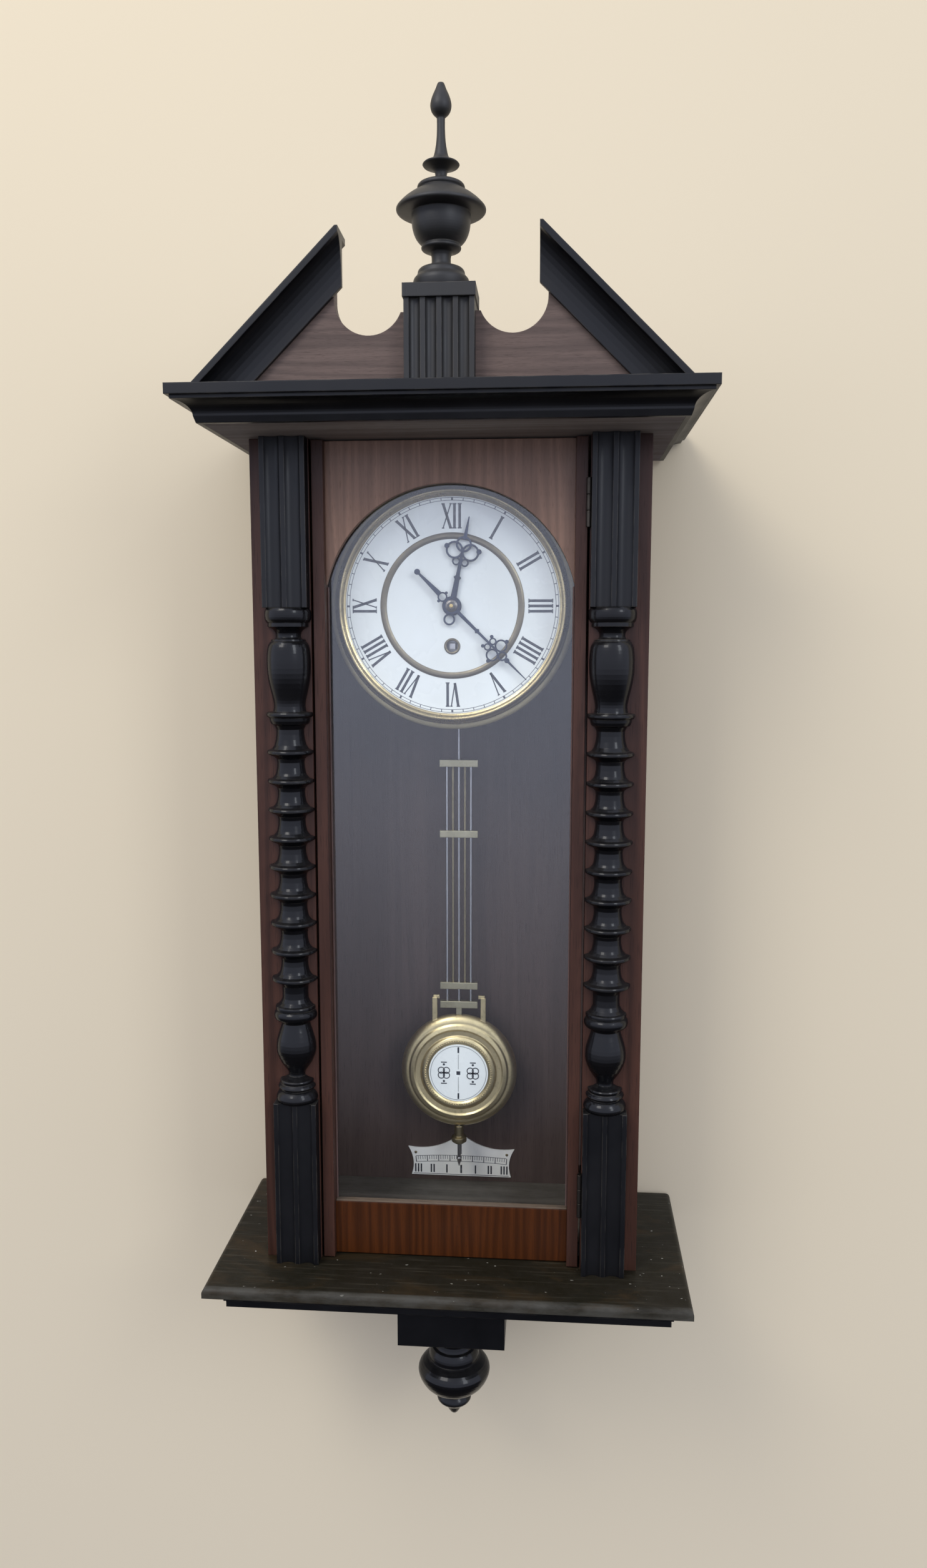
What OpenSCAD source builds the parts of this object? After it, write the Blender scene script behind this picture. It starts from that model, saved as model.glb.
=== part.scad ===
// Long wall clock with turned half columns, a glazed door, a spring driven
// movement, a gridiron pendulum and a beat scale.
// Millimetres. The origin is the centre of the hanging hole on the wall plane,
// +X to the right, +Z up, and the front of the clock faces -Y.
// Inside in_case() heights are measured from the dial centre.

/* [Case] */
// Width of the case over its sides
case_w = 303; // [300:1:330]
// Depth from the wall to the front of the stiles
case_d = 131.5; // [130:0.5:140]
// Height of the soffit above the dial centre
soffit_h = 124.5; // [124:0.5:140]
// Depth of the shelf top below the dial centre
shelf_drop = 534; // [480:1:560]
// Height of the hanging hole above the dial centre
hang_h = 95; // [85:1:100]
// Thickness of the side boards
side_t = 12; // [9:0.5:16]
// Thickness of the back board
back_t = 12; // [11:0.5:14]
// Thickness of the floor board
floor_t = 12; // [8:0.5:14]
// Thickness of the front stiles
stile_t = 18.5; // [18.5:0.5:24]

/* [Columns] */
// Distance from a stile's inner edge to its column's axis
column_in = 17.8; // [17.8:0.1:22]
// Width of a reeded block
block_w = 34.4; // [30:0.2:35]
// How far a reeded block stands out of the stile
block_t = 12; // [9:0.5:16]
// Length of the upper reeded block
upper_block_h = 126.5; // [120:0.5:127]
// Length of the lower reeded block
lower_block_h = 137; // [100:0.5:138]
// Radius of the turned discs
disc_r = 18.3; // [16:0.1:18.3]
// Radius of the turned waist between two discs
waist_r = 10.7; // [10:0.1:13]
// Number of turned discs with waists between them
disc_count = 9; // [7:1:9]
// Thickness of a turned disc at its rim
disc_t = 2.8; // [2.4:0.1:3.4]
// Width of a ridge between two flutes
ridge_w = 3.5; // [2.5:0.1:5]
// Depth of a flute
flute_d = 3; // [2:0.1:4]

/* [Cornice] */
// Width of the soffit over the moulding's lower edge
soffit_w = 343; // [338:1:370]
// Depth of the soffit from the wall
soffit_d = 197; // [190:0.5:205]
// Height of the cornice
cornice_h = 24; // [20:0.5:30]
// How far the cornice's top edge stands out past its lower edge
cornice_out = 17; // [14:0.5:20]
// Height of the flat band at the top of the cornice
fascia_h = 7.4; // [5:0.1:9]
// Thickness of the cornice moulding at its lower edge
lip_t = 4; // [3:0.1:6]

/* [Crest] */
// How far the crest board's face stands back from the soffit's edge
crest_back = 9; // [7:0.5:17]
// Thickness of the crest board
crest_t = 12; // [9:0.5:14]
// Half width of the gap between the raking mouldings
crest_gap = 70; // [60:0.5:80]
// Height of a raking moulding's tip above the cornice
rake_h = 102; // [90:0.5:115]
// Slope of the raking mouldings in degrees
rake_slope = 44.5; // [42:0.5:47]
// Face height of a raking moulding, square to its slope
rake_w = 26.7; // [22:0.1:30]
// How far a raking moulding stands out of the crest board
rake_out = 17; // [12:0.5:22]
// Height of the flat fillet along a raking moulding's top
fillet_h = 4.3; // [3:0.1:6]
// Radius of a scoop beside the plinth
scoop_r = 24; // [20:0.5:24]
// Height of a scoop's lowest point above the cornice
scoop_z = 34.5; // [25:0.5:45]
// Width of the crest's plinth
plinth_w = 48.4; // [44:0.2:49]
// Depth of the plinth, front to back
plinth_d = 36; // [30:0.5:44]
// Height of the plinth
plinth_h = 56; // [52:0.5:62]
// Thickness of the cap on the plinth
cap_t = 9; // [6:0.5:12]
// How far the cap stands out of the plinth
cap_out = 1.6; // [0.5:0.1:4]

/* [Finial] */
// Height of the finial from its foot to its tip
finial_h = 133.6; // [120:0.2:150]
// Radius of the finial's brim
brim_r = 30.9; // [27:0.1:34]
// Radius of the finial's foot
foot_r = 19.5; // [16:0.1:20]

/* [Base] */
// Width of the base shelf
shelf_w = 384; // [370:1:410]
// Depth of the base shelf from the wall
shelf_d = 184.5; // [175:0.5:195]
// Thickness of the base shelf
shelf_t = 8; // [7:0.5:14]
// Radius rounding the shelf's top edge
shelf_round = 4; // [2:0.5:6]
// How far the base moulding stands back from the shelf's edge
moulding_in = 11.8; // [9:0.1:15]
// Height of the base moulding
moulding_h = 15.5; // [12:0.5:20]
// How much the base moulding draws in towards its lower edge
moulding_draw = 3.4; // [2:0.1:5]

/* [Pendant] */
// Width of the block under the base
pend_w = 90; // [80:1:100]
// Depth of the block under the base
pend_d = 64; // [56:1:70]
// Height of the block under the base
pend_h = 58.5; // [50:0.5:66]
// Distance from the wall to the pendant's axis
pend_y = 90; // [70:1:110]
// Length of the turned drop
drop_h = 81.7; // [72:0.1:95]
// Radius of the drop's bulb
drop_r = 31; // [28:0.1:34]

/* [Door] */
// Width of the door
door_w = 208.4; // [206:0.2:209]
// Thickness of the door frame
door_t = 18; // [17:0.5:18.5]
// Width of a door stile
door_stile_w = 8.8; // [8:0.1:14]
// Height of the bottom rail
rail_h = 46; // [36:0.5:60]
// How far the arched panel and the rail lie behind the stiles
panel_in = 7.5; // [5:0.5:8]
// Thickness of the arched panel
panel_t = 6; // [4:0.5:7]
// How far the arch's circle reaches past the panel's sides
arch_side = 2.4; // [1:0.1:10]
// Height of the arch's crown above the dial centre
arch_top = 91.5; // [80:0.5:96]
// Thickness of the glass
glass_t = 2; // [1.5:0.1:2.5]
// Length of a hinge
hinge_h = 36; // [24:1:50]
// Width of a hinge leaf
leaf_w = 14; // [10:0.5:16]
// Radius of a hinge knuckle
knuckle_r = 2.2; // [1.9:0.1:2.4]
// Radius of a hinge pin
hinge_pin_r = 1; // [0.8:0.05:1.2]
// Height of the upper hinge above the dial centre
hinge_up = 75; // [60:1:95]
// Height of the lower hinge above the shelf
hinge_rise = 64; // [34:1:94]

/* [Dial] */
// Distance from the wall to the dial's front face
dial_d = 99.8; // [99.5:0.1:102]
// Outer radius of the white dial
dial_r = 85.2; // [83:0.1:86]
// Outer radius of the brass bezel
bezel_r = 93; // [91:0.1:96]
// How far the bezel stands out of the dial's face
bezel_out = 6; // [4:0.1:7]
// Inner radius of the gilt ring on the dial
gilt_in_r = 51.9; // [50:0.1:53]
// Outer radius of the gilt ring on the dial
gilt_out_r = 57; // [56:0.1:59]
// Thickness of the dial's enamel
enamel_t = 1.5; // [1:0.1:2]
// Thickness of the brass plate behind the dial
dial_plate_t = 1; // [0.8:0.1:1.2]
// Outer radius of the winding hole's brass eyelet
eyelet_r = 6.4; // [6:0.1:7]

/* [Movement] */
// Width of the movement's plates
plate_w = 80; // [78:1:90]
// Thickness of the movement's plates
plate_t = 2; // [1.5:0.1:2.5]
// Distance from the wall to the back plate's rear face
back_plate_d = 48; // [48:0.5:50]
// Distance between the movement's plates
plate_gap = 34; // [34:0.5:35]
// Radius of a pillar
pillar_r = 3.5; // [2.5:0.1:4.5]
// Distance from the centre arbor down to the winding arbor
winding_drop = 31.4; // [30.5:0.1:32.5]
// Radius of the centre arbor
centre_r = 1.5; // [1.2:0.05:1.6]
// Radius of the other arbors
arbor_r = 1; // [0.8:0.05:1.2]
// Outer radius of the spring barrel
barrel_r = 25; // [22:0.1:25]
// Thickness of the spring barrel's wall
barrel_wall = 1.8; // [1.2:0.1:2.5]
// Height of the pallet arbor above the dial centre
pallet_h = 44; // [43:0.5:46]
// Radius of the escape wheel
escape_r = 13; // [12:0.1:13.2]

/* [Pendulum] */
// Distance from the wall to the pendulum's middle plane
swing_d = 36; // [35:0.5:37]
// Height of the bob's centre above the shelf
bob_rise = 128; // [123:1:138]
// Radius of the bob
bob_r = 51.3; // [46:0.1:54]
// Thickness of the bob
bob_t = 18; // [14:0.5:20]
// Radius of the bob's white enamel
bob_enamel_r = 26.4; // [22:0.1:30]
// Radius of the single upper rod
upper_rod_r = 1.2; // [0.9:0.05:1.5]
// Radius of the gridiron's rods
rod_r = 1.2; // [0.9:0.05:1.5]
// Distance between two rods of the gridiron
rod_pitch = 5.2; // [4.2:0.1:6]
// Width of a crossbar
bar_w = 33; // [28:0.5:40]
// Height of a crossbar
bar_h = 6; // [4:0.1:7]
// Depth of a crossbar
bar_d = 5; // [4:0.1:7]
// Thread pitch of the rating screw
rating_pitch = 0.5; // [0.4:0.05:0.7]
// Radius of the rating screw
rating_r = 1.5; // [1.2:0.05:2]

/* [Hands] */
// Length of the minute hand
minute_l = 82.4; // [76:0.1:84]
// Length of the hour hand
hour_l = 70; // [62:0.1:76]
// Thickness of the hands
hand_t = 1; // [0.6:0.1:1.4]
// Minutes past twelve that the hands show
minutes_shown = 22.4; // [0:0.1:59.9]

/* [Beat scale] */
// Width of the beat scale
scale_w = 97.6; // [80:0.5:110]
// Height of the beat scale at its ends
scale_h = 27; // [20:0.5:34]
// Height of the beat scale's peak over its ends
scale_peak = 14.5; // [8:0.5:20]
// Thickness of the beat scale
scale_t = 1.2; // [0.8:0.1:2]

/* [Hanging] */
// Radius of the hanging hole
hanger_r = 5; // [4:0.1:6]
// Width of the keyhole over the hanging hole
keyhole_w = 4.4; // [3:0.1:5]
// How far the keyhole rises above the hole's centre
keyhole_rise = 12; // [8:0.5:14]
// Width of the hanging plate
hanger_w = 52; // [48:1:70]
// Height of the hanging plate
hanger_h = 44; // [40:1:56]
// Thickness of the hanging plate
hanger_t = 2; // [1.5:0.1:3]
// Radius of the room for a nail's head behind the plate
nail_room_r = 9; // [7:0.5:10]
// Depth of that room from the wall
nail_room_d = 7; // [5:0.5:9]
// Radius of a screw's shank
screw_r = 1.5; // [1.2:0.1:1.8]

/* [Fits] */
// Radial clearance of a turning fit
run_fit = 0.06; // [0.03:0.01:0.1]
// Gap between the door and each stile of the case
door_gap = 2; // [1.8:0.1:2.4]
// Gap over and under the door
door_rise = 1.2; // [0.6:0.1:2]
// Gap between parts that pass without touching
air = 0.4; // [0.2:0.05:0.6]

/* [Hidden] */

// Segments of a full circle on round faces
fine = 96;
// Segments on small round faces
small = 32;
// Steps in one drawn arc of a turned profile
arc_n = 7;
// A little more than a wall, so that a cut goes right through
over = 1;

// Case
case_x = case_w/2;
inside_x = case_x - side_t;
opening_x = door_w/2 + door_gap;
column_x = opening_x + column_in;
stile_back = case_d - stile_t;
columns_top = soffit_h - upper_block_h;
columns_low = -shelf_drop + lower_block_h;
hinge_x = door_w/2 + door_gap/2;
leaf_t = (door_gap - air)/2;
hinge_y = case_d + air + knuckle_r;
hinge_heights = [hinge_up, -shelf_drop + hinge_rise];

// Cornice and crest
board_x = soffit_w/2 - lip_t;
board_d = soffit_d - lip_t;
cornice_top = soffit_h + cornice_h;
tan_slope = tan(rake_slope);
tip_z = cornice_top + rake_h;
crest_d = soffit_d - crest_back;
plinth_front = crest_d + crest_t;
finial_y = plinth_front - plinth_d/2;
cap_top = cornice_top + plinth_h + cap_t;
tongue_h = plinth_h - 6;

// Base and pendant
moulding_top = -shelf_drop - shelf_t;
block_top = moulding_top - moulding_h;
drop_top = block_top - pend_h;

// Movement planes, as distances from the wall
back_plate_f = back_plate_d + plate_t;
front_plate_d = back_plate_f + plate_gap;
front_plate_f = front_plate_d + plate_t;
dial_back = dial_d - enamel_t;
plate_top = 56;
plate_low = 66;
shake = 0.3;
pivot_r = 0.8;

// Trains: tooth counts and arbor places as [x, z] from the centre arbor
barrel_n = 84;
inter_pinion_n = 10;
inter_n = 66;
centre_pinion_n = 12;
centre_n = 80;
third_pinion_n = 8;
third_n = 72;
escape_pinion_n = 8;
escape_n = 30;
cannon_n = 14;
minute_n = 42;
minute_pinion_n = 12;
hour_n = 48;
ratchet_n = 24;
centre_at = [0, 0];
barrel_at = [0, -winding_drop];
inter_at = [18.9, -7.6];
third_at = [-12, 16.3];
pallet_span = 78;
pallet_at = [0, pallet_h];
escape_at = [0, pallet_h - escape_r/cos(pallet_span/2)];
minute_at = [-12.1, 7];
function gap(a, b) = norm(a - b);
function heading(a, b) = atan2(b[1] - a[1], b[0] - a[0]);
function module_of(a, b, n, k) = 2*gap(a, b)/(n + k);

m_barrel = module_of(barrel_at, inter_at, barrel_n, inter_pinion_n);
m_inter = module_of(inter_at, centre_at, inter_n, centre_pinion_n);
m_centre = module_of(centre_at, third_at, centre_n, third_pinion_n);
m_third = module_of(third_at, escape_at, third_n, escape_pinion_n);
m_cannon = module_of(centre_at, minute_at, cannon_n, minute_n);
m_hour = module_of(centre_at, minute_at, minute_pinion_n, hour_n);

// Planes of the wheels, each [front, back] as distances from the wall
centre_plane = [front_plate_d - 1.5, front_plate_d - 2.9];
third_pinion_plane = [front_plate_d - 0.6, front_plate_d - 4];
third_plane = [front_plate_d - 14, front_plate_d - 15.2];
escape_pinion_plane = [front_plate_d - 12.4, front_plate_d - 17];
escape_plane = [back_plate_f + 6.2, back_plate_f + 5.2];
inter_plane = [back_plate_f + 4.6, back_plate_f + 3.2];
centre_pinion_plane = [back_plate_f + 6, back_plate_f + 2];
great_plane = [back_plate_f + 10.5, back_plate_f + 7.5];
inter_pinion_plane = [back_plate_f + 12, back_plate_f + 7];
drum_plane = [front_plate_d - 4.4, great_plane[0]];
cannon_plane = [front_plate_f + 4, front_plate_f + 1];
minute_plane = [front_plate_f + 3.3, front_plate_f + 1.7];
minute_pinion_plane = [front_plate_f + 8.2, front_plate_f + 3.3];
hour_plane = [front_plate_f + 7.6, front_plate_f + 6.2];
ratchet_plane = [front_plate_f + 3, front_plate_f + 0.8];
hour_hand_plane = [dial_d + 3.2, dial_d + 3.2 - hand_t];
minute_hand_plane = [dial_d + 5.8, dial_d + 5.8 - hand_t];

// Nested pipes on the centre arbor
cannon_bore = centre_r + run_fit;
cannon_r = cannon_bore + 1.2;
hour_bore = cannon_r + run_fit;
hour_pipe_r = hour_bore + 1.1;
square_r = 2.4;
barrel_arbor_r = 3.6;
ratchet_r = 10.6;

// Pendulum heights from the dial centre
bob_z = -shelf_drop + bob_rise;
bar_z = [bob_z + 274.5, bob_z + 213, bob_z + 77.7, bob_z + 60.6];
bob_slot = 2.5;
tongue_low = bob_z - bob_r + 8;
ear_x = 21.4;
nut_z = bob_z - bob_r - 9;
nut_sleeve = 8.7;
nut_h = 8;
nut_r = 6.7;
pointer_z = bob_z - 90;
hook_top = pallet_h - 12;
hook_low = hook_top - 14;
spring_top = pallet_h + 8;

// Hands
hand_turn = minutes_shown*6;
hour_turn = minutes_shown/2;
boss_r = 6.6;
hand_fit = 0.01;

// Beat scale
scale_low = -shelf_drop + floor_t + 4.9;

// Door
panel_x = door_w/2 - door_stile_w;
glass_f = case_d - panel_in - panel_t;
glass_x = panel_x + 3.4;
glass_low = -shelf_drop + rail_h - 3.4;
arch_r = panel_x + arch_side;
arch_foot = sqrt(arch_r*arch_r - panel_x*panel_x) + 0.02;

// Screws, pillars, feet and the brackets they hold
bracket_x = 33;
bracket_t = 2.4;
cock_t = 2.4;
cock_d = 9;
barrel_hub_r = 6.2;
hanger_screw_at = [for (x = [-19, 19]) [x, hang_h - 12]];
bracket_screw_at = [for (x = [-1, 1]) for (z = [-42, -58]) [x*(bracket_x + 2), z]];
pillar_at = [for (x = [-1, 1]) for (z = [plate_top - 8, -plate_low + 7])
    [x*(plate_w/2 - 6), z]];
cock_screw_at = [for (x = [-1, 1]) [x*20, pallet_h + 4]];
foot_at = [for (x = [-1, 1]) for (z = [44, -54]) [x*26, z]];

// Finishes
ebony = [0.07, 0.07, 0.08];
walnut = [0.33, 0.17, 0.12];
redwood = [0.42, 0.17, 0.07];
plumwood = [0.23, 0.1, 0.09];
barewood = [0.45, 0.38, 0.31];
brass = [0.72, 0.58, 0.3];
steel = [0.55, 0.56, 0.58];
blued = [0.13, 0.16, 0.24];
white = [0.93, 0.94, 0.95];
nickel = [0.75, 0.74, 0.66];

// Points of an arc about [cx, cz]
function arc(cx, cz, r, a0, a1, n = arc_n) =
    [for (i = [0:n]) let (a = a0 + (a1 - a0)*i/n) [cx + r*cos(a), cz + r*sin(a)]];

// Hollow curve from one point to another, bulging by sag to the left of travel
function bow(p, q, sag, n = arc_n) =
    let (d = q - p, l = norm(d), m = (p + q)/2, side = [-d[1], d[0]]/l)
    [for (i = [0:n]) let (t = i/n) p + d*t + side*sag*4*t*(1 - t)];

// Smooth curve through the points of a turned outline
function smooth(points, n = 2) =
    let (last = len(points) - 1)
    concat([for (i = [0:last - 1], k = [0:n - 1])
        let (t = k/n, a = points[max(i - 1, 0)], b = points[i], c = points[i + 1],
            d = points[min(i + 2, last)])
        0.5*(2*b + (c - a)*t + (2*a - 5*b + 4*c - d)*t*t + (3*b - a - 3*c + d)*t*t*t)],
        [points[last]]);

module in_case() {
    translate([0, 0, -hang_h]) children();
}

// A flat outline in X and Z made solid from one distance to another off the wall
module slab(front, back) {
    translate([0, -back, 0]) rotate([90, 0, 0]) linear_extrude(front - back) children();
}

// A round disc or pin lying front to back
module pin_y(at, r, front, back, sides = fine) {
    slab(front, back) translate(at) circle(r, $fn = sides);
}

// A turned shape with its axis front to back; profile is [radius, distance off the wall]
module turned_y(at, profile) {
    translate([at[0], 0, at[1]]) rotate([90, 0, 0])
        rotate_extrude($fn = fine) polygon(profile);
}

module box(x0, x1, front, back, z0, z1) {
    translate([x0, -front, z0]) cube([x1 - x0, front - back, z1 - z0]);
}

module both_sides() {
    children();
    mirror([1, 0, 0]) children();
}

// Case

module back_board() color(plumwood) in_case() difference() {
    box(-inside_x, inside_x, back_t, 0, -shelf_drop, soffit_h);
    box(-hanger_w/2, hanger_w/2, hanger_t, -over, hang_h - hanger_h/2, hang_h + hanger_h/2);
    pin_y([0, hang_h], nail_room_r, nail_room_d, -over);
    box(-nail_room_r, nail_room_r, nail_room_d, -over, hang_h, hang_h + keyhole_rise);
    for (at = hanger_screw_at) pin_y(at, screw_r, back_t - 3, -over, small);
    for (at = bracket_screw_at) pin_y(at, screw_r, back_t + over, 2, small);
}

module side_boards() color(plumwood) in_case() both_sides()
    box(inside_x, case_x, stile_back, 0, -shelf_drop, soffit_h);

module floor_board() color(plumwood) in_case()
    box(-inside_x, inside_x, stile_back, back_t, -shelf_drop, -shelf_drop + floor_t);

module front_stiles() color(plumwood) in_case() both_sides()
    box(opening_x, case_x, case_d, stile_back, -shelf_drop, soffit_h);

// Cuts evenly spaced flutes in a face of width w that starts at y = 0
module fluted(w, d, flutes) {
    flute_w = (w - ridge_w*(flutes + 1))/flutes;
    flute_r = (flute_w*flute_w/4 + flute_d*flute_d)/(2*flute_d);
    difference() {
        translate([-w/2, -d]) square([w, d]);
        for (i = [0:flutes - 1])
            translate([-w/2 + ridge_w + flute_w/2 + i*(flute_w + ridge_w), -d + flute_d - flute_r])
                circle(flute_r, $fn = small);
    }
}

module reeded_blocks() color(ebony) in_case() difference() {
    both_sides() translate([column_x, -case_d, 0]) {
        translate([0, 0, columns_top]) linear_extrude(upper_block_h)
            fluted(block_w, block_t, 2);
        translate([0, 0, -shelf_drop]) linear_extrude(lower_block_h)
            fluted(block_w, block_t, 2);
    }
    for (z = hinge_heights)
        box(opening_x - over, hinge_x + knuckle_r + air, hinge_y + knuckle_r + air, case_d - over,
            z - hinge_h/2 - air, z + hinge_h/2 + air);
}

// Rim of a turned disc at a height, and the waist from one disc down to the next
function disc(z) = [[disc_r - 0.4, z + disc_t/2], [disc_r, z + disc_t*0.2],
    [disc_r, z - disc_t*0.2], [disc_r - 0.9, z - disc_t/2]];
function waist(z, h) = [for (p = [[5, 0.05], [2.3, 0.11], [0.5, 0.19], [0, 0.33], [0.2, 0.53],
    [1.1, 0.75], [2, 0.84], [3.9, 0.945]]) [waist_r + p[0], z - p[1]*h]];

module turned_columns() color(ebony) in_case() {
    top = columns_top;
    low = columns_low;
    first = top - 111;
    pitch = (first - low - 102.2)/(disc_count - 1);
    gap = pitch - disc_t;
    profile = concat(
        [[0, top]],
        smooth([[16.5, top], [17.9, top - 2.2], [18.2, top - 5.6], [17.8, top - 9], [16.6, top - 11.2]]),
        [[15.9, top - 11.4], [15.9, top - 14.4]],
        smooth([[14.4, top - 14.8], [11.6, top - 16.6], [9.9, top - 19.4], [9.9, top - 22.4],
            [11, top - 23.8]]),
        [[13.3, top - 24], [13.5, top - 25.3]],
        smooth([[14, top - 25.7], [15.6, top - 28], [16.6, top - 32], [17.1, top - 37.5],
            [17.2, top - 42.6], [16.9, top - 50], [15.8, top - 57.5], [14.1, top - 65],
            [12.8, top - 70.6], [12.3, top - 75.3], [13, top - 79.4]]),
        [[17.6, top - 79.9], [18.2, top - 80.9], [18.2, top - 82.3], [17.4, top - 83.6],
         [16, top - 84], [15.7, top - 86.5], [14.8, top - 88.8], [12.4, top - 89.9],
         [10.9, top - 93.2], [10.9, top - 97], [11.4, top - 101], [12.6, top - 105.5],
         [14.6, top - 108.4]],
        disc(first),
        [for (i = [0:disc_count - 2])
            for (p = concat(waist(first - i*pitch - disc_t/2, gap), disc(first - (i + 1)*pitch))) p],
        [[15.8, low + 100.2], [12.4, low + 99.4], [10.6, low + 96], [10.4, low + 91], [10.6, low + 86],
         [12, low + 83], [14.1, low + 80.8], [15.6, low + 80], [16, low + 79], [16, low + 77.2],
         [15, low + 76.8]],
        smooth([[15.8, low + 76.2], [16.9, low + 74.8], [17.3, low + 72.5], [16.9, low + 70.2],
            [15.8, low + 68.8]]),
        smooth([[12.8, low + 68.2], [11.4, low + 65.5], [13.1, low + 59.7], [15.3, low + 52.1],
            [16, low + 46.4], [15.7, low + 40.8], [12.8, low + 33.2], [9.1, low + 27.5],
            [6.9, low + 24.2], [6.8, low + 21]]),
        smooth([[9.6, low + 19.4], [13.2, low + 18.4], [13.6, low + 16.8], [13.2, low + 15.3]]),
        [[14.6, low + 14], [15.2, low + 12.6], [14.6, low + 11], [12.8, low + 10.4]],
        smooth([[12.8, low + 9.8], [15, low + 8], [16.6, low + 5], [16.9, low + 2.4], [15.8, low + 0.4]]),
        [[15.6, low], [0, low]]);
    column_l = top - low;
    both_sides() translate([column_x, -case_d, 0]) intersection() {
        rotate_extrude($fn = fine)
            polygon(profile);
        translate([-disc_r - over, -disc_r - over, columns_low])
            cube([2*(disc_r + over), disc_r + over, column_l]);
    }
}

// Cornice

module top_board() color(barewood) in_case()
    box(-board_x, board_x, board_d, 0, soffit_h, cornice_top);

// Section of the cornice moulding, out from the board's edge
module cornice_section() {
    out = lip_t + cornice_out;
    cove_w = cornice_out - 4.5;
    cove_h = cornice_h - fascia_h - 2.5 - 4.5;
    polygon(concat(
        [[0, 0], [lip_t, 0], [lip_t + 1.5, 4.5]],
        [for (p = arc(lip_t + 1.5 + cove_w, 4.5, 1, 180, 90, 10))
            [lip_t + 1.5 + cove_w + (p[0] - lip_t - 1.5 - cove_w)*cove_w, 4.5 + (p[1] - 4.5)*cove_h]],
        [[out - 3, cornice_h - fascia_h - 2.5], [out - 3, cornice_h - fascia_h],
         [out, cornice_h - fascia_h], [out, cornice_h], [0, cornice_h]]));
}

// One length of moulding along +X, mitred at 45 degrees at the chosen ends
module mitred(length, out, cut_start, cut_end) {
    tall = cornice_h + 2*over;
    difference() {
        translate([cut_start ? -out : 0, 0, 0]) rotate([90, 0, 90])
            linear_extrude(length + (cut_start ? out : 0) + (cut_end ? out : 0))
                cornice_section();
        if (cut_start) rotate(135) translate([0, 0, -over]) cube([3*out, 2*out, tall]);
        if (cut_end) translate([length, 0, 0]) rotate(45)
            translate([0, -2*out, -over]) cube([3*out, 2*out, tall]);
    }
}

module cornice_moulding() color(ebony) in_case() translate([0, 0, soffit_h]) {
    out = lip_t + cornice_out;
    translate([board_x, -board_d, 0]) rotate(180) mitred(2*board_x, out, true, true);
    both_sides() translate([board_x, 0, 0]) rotate(-90) mitred(board_d, out, false, true);
}

// Crest

// Outline left under two parallel slopes that fall away from the tips by drop
module gable(drop) {
    half = crest_gap + (rake_h - drop/cos(rake_slope))/tan_slope;
    polygon([[-half, cornice_top], [half, cornice_top],
        [crest_gap, tip_z - drop/cos(rake_slope)], [0, tip_z + crest_gap*tan_slope - drop/cos(rake_slope)],
        [-crest_gap, tip_z - drop/cos(rake_slope)]]);
}

module crest_board() color(walnut) in_case() slab(crest_d, crest_d - crest_t) difference() {
    intersection() {
        gable(fillet_h);
        union() {
            for (side = [-1, 1])
                translate([side*(crest_gap + 4) - (side < 0 ? 200 : 0), cornice_top])
                    square([200, rake_h]);
            translate([-crest_gap - 4, cornice_top])
                square([2*(crest_gap + 4), scoop_z + scoop_r]);
        }
    }
    for (side = [-1, 1]) translate([side*(crest_gap + 4 - scoop_r), cornice_top + scoop_z + scoop_r])
        circle(scoop_r, $fn = fine);
    translate([-crest_gap, cornice_top + tongue_h - air]) square([2*crest_gap, rake_h]);
}

// One raking moulding on the right, in a frame whose x runs down the slope
module rake_side() {
    length = rake_h/sin(rake_slope) + 2*rake_w;
    lip = 3.6;
    step = rake_out - 1.2 - lip;
    cove_h = rake_w - fillet_h - 1.4;
    section = concat(
        [[0, 0], [rake_out, 0], [rake_out, -fillet_h], [rake_out - 1.2, -fillet_h]],
        [for (a = [0:11.25:90]) [rake_out - 1.2 - step*sin(a), -fillet_h - cove_h*(1 - cos(a))]],
        [[lip, -rake_w]],
        [[0, -rake_w]]);
    intersection() {
        translate([crest_gap, -crest_d, tip_z]) rotate([0, rake_slope, 0]) union() {
            translate([-rake_w, 0, 0]) rotate([90, 0, 90]) linear_extrude(length)
                mirror([1, 0]) polygon(section);
            translate([-rake_w, 0, -fillet_h])
                cube([length, crest_t, fillet_h]);
        }
        box(crest_gap - 2, case_w, crest_d + rake_out, crest_d - crest_t, cornice_top, tip_z);
    }
}

module rake_mouldings() color(ebony) in_case() both_sides() rake_side();

module crest_plinth() color(ebony) in_case() {
    difference() {
        translate([0, -plinth_front + plinth_d, cornice_top]) linear_extrude(plinth_h)
            fluted(plinth_w, plinth_d, 4);
        box(-plinth_w, plinth_w, crest_d, crest_d - crest_t, cornice_top - over, cornice_top + tongue_h);
    }
    box(-plinth_w/2 - cap_out/2, plinth_w/2 + cap_out/2, plinth_front + cap_out,
        plinth_front - plinth_d - cap_out, cornice_top + plinth_h, cap_top);
}

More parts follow.
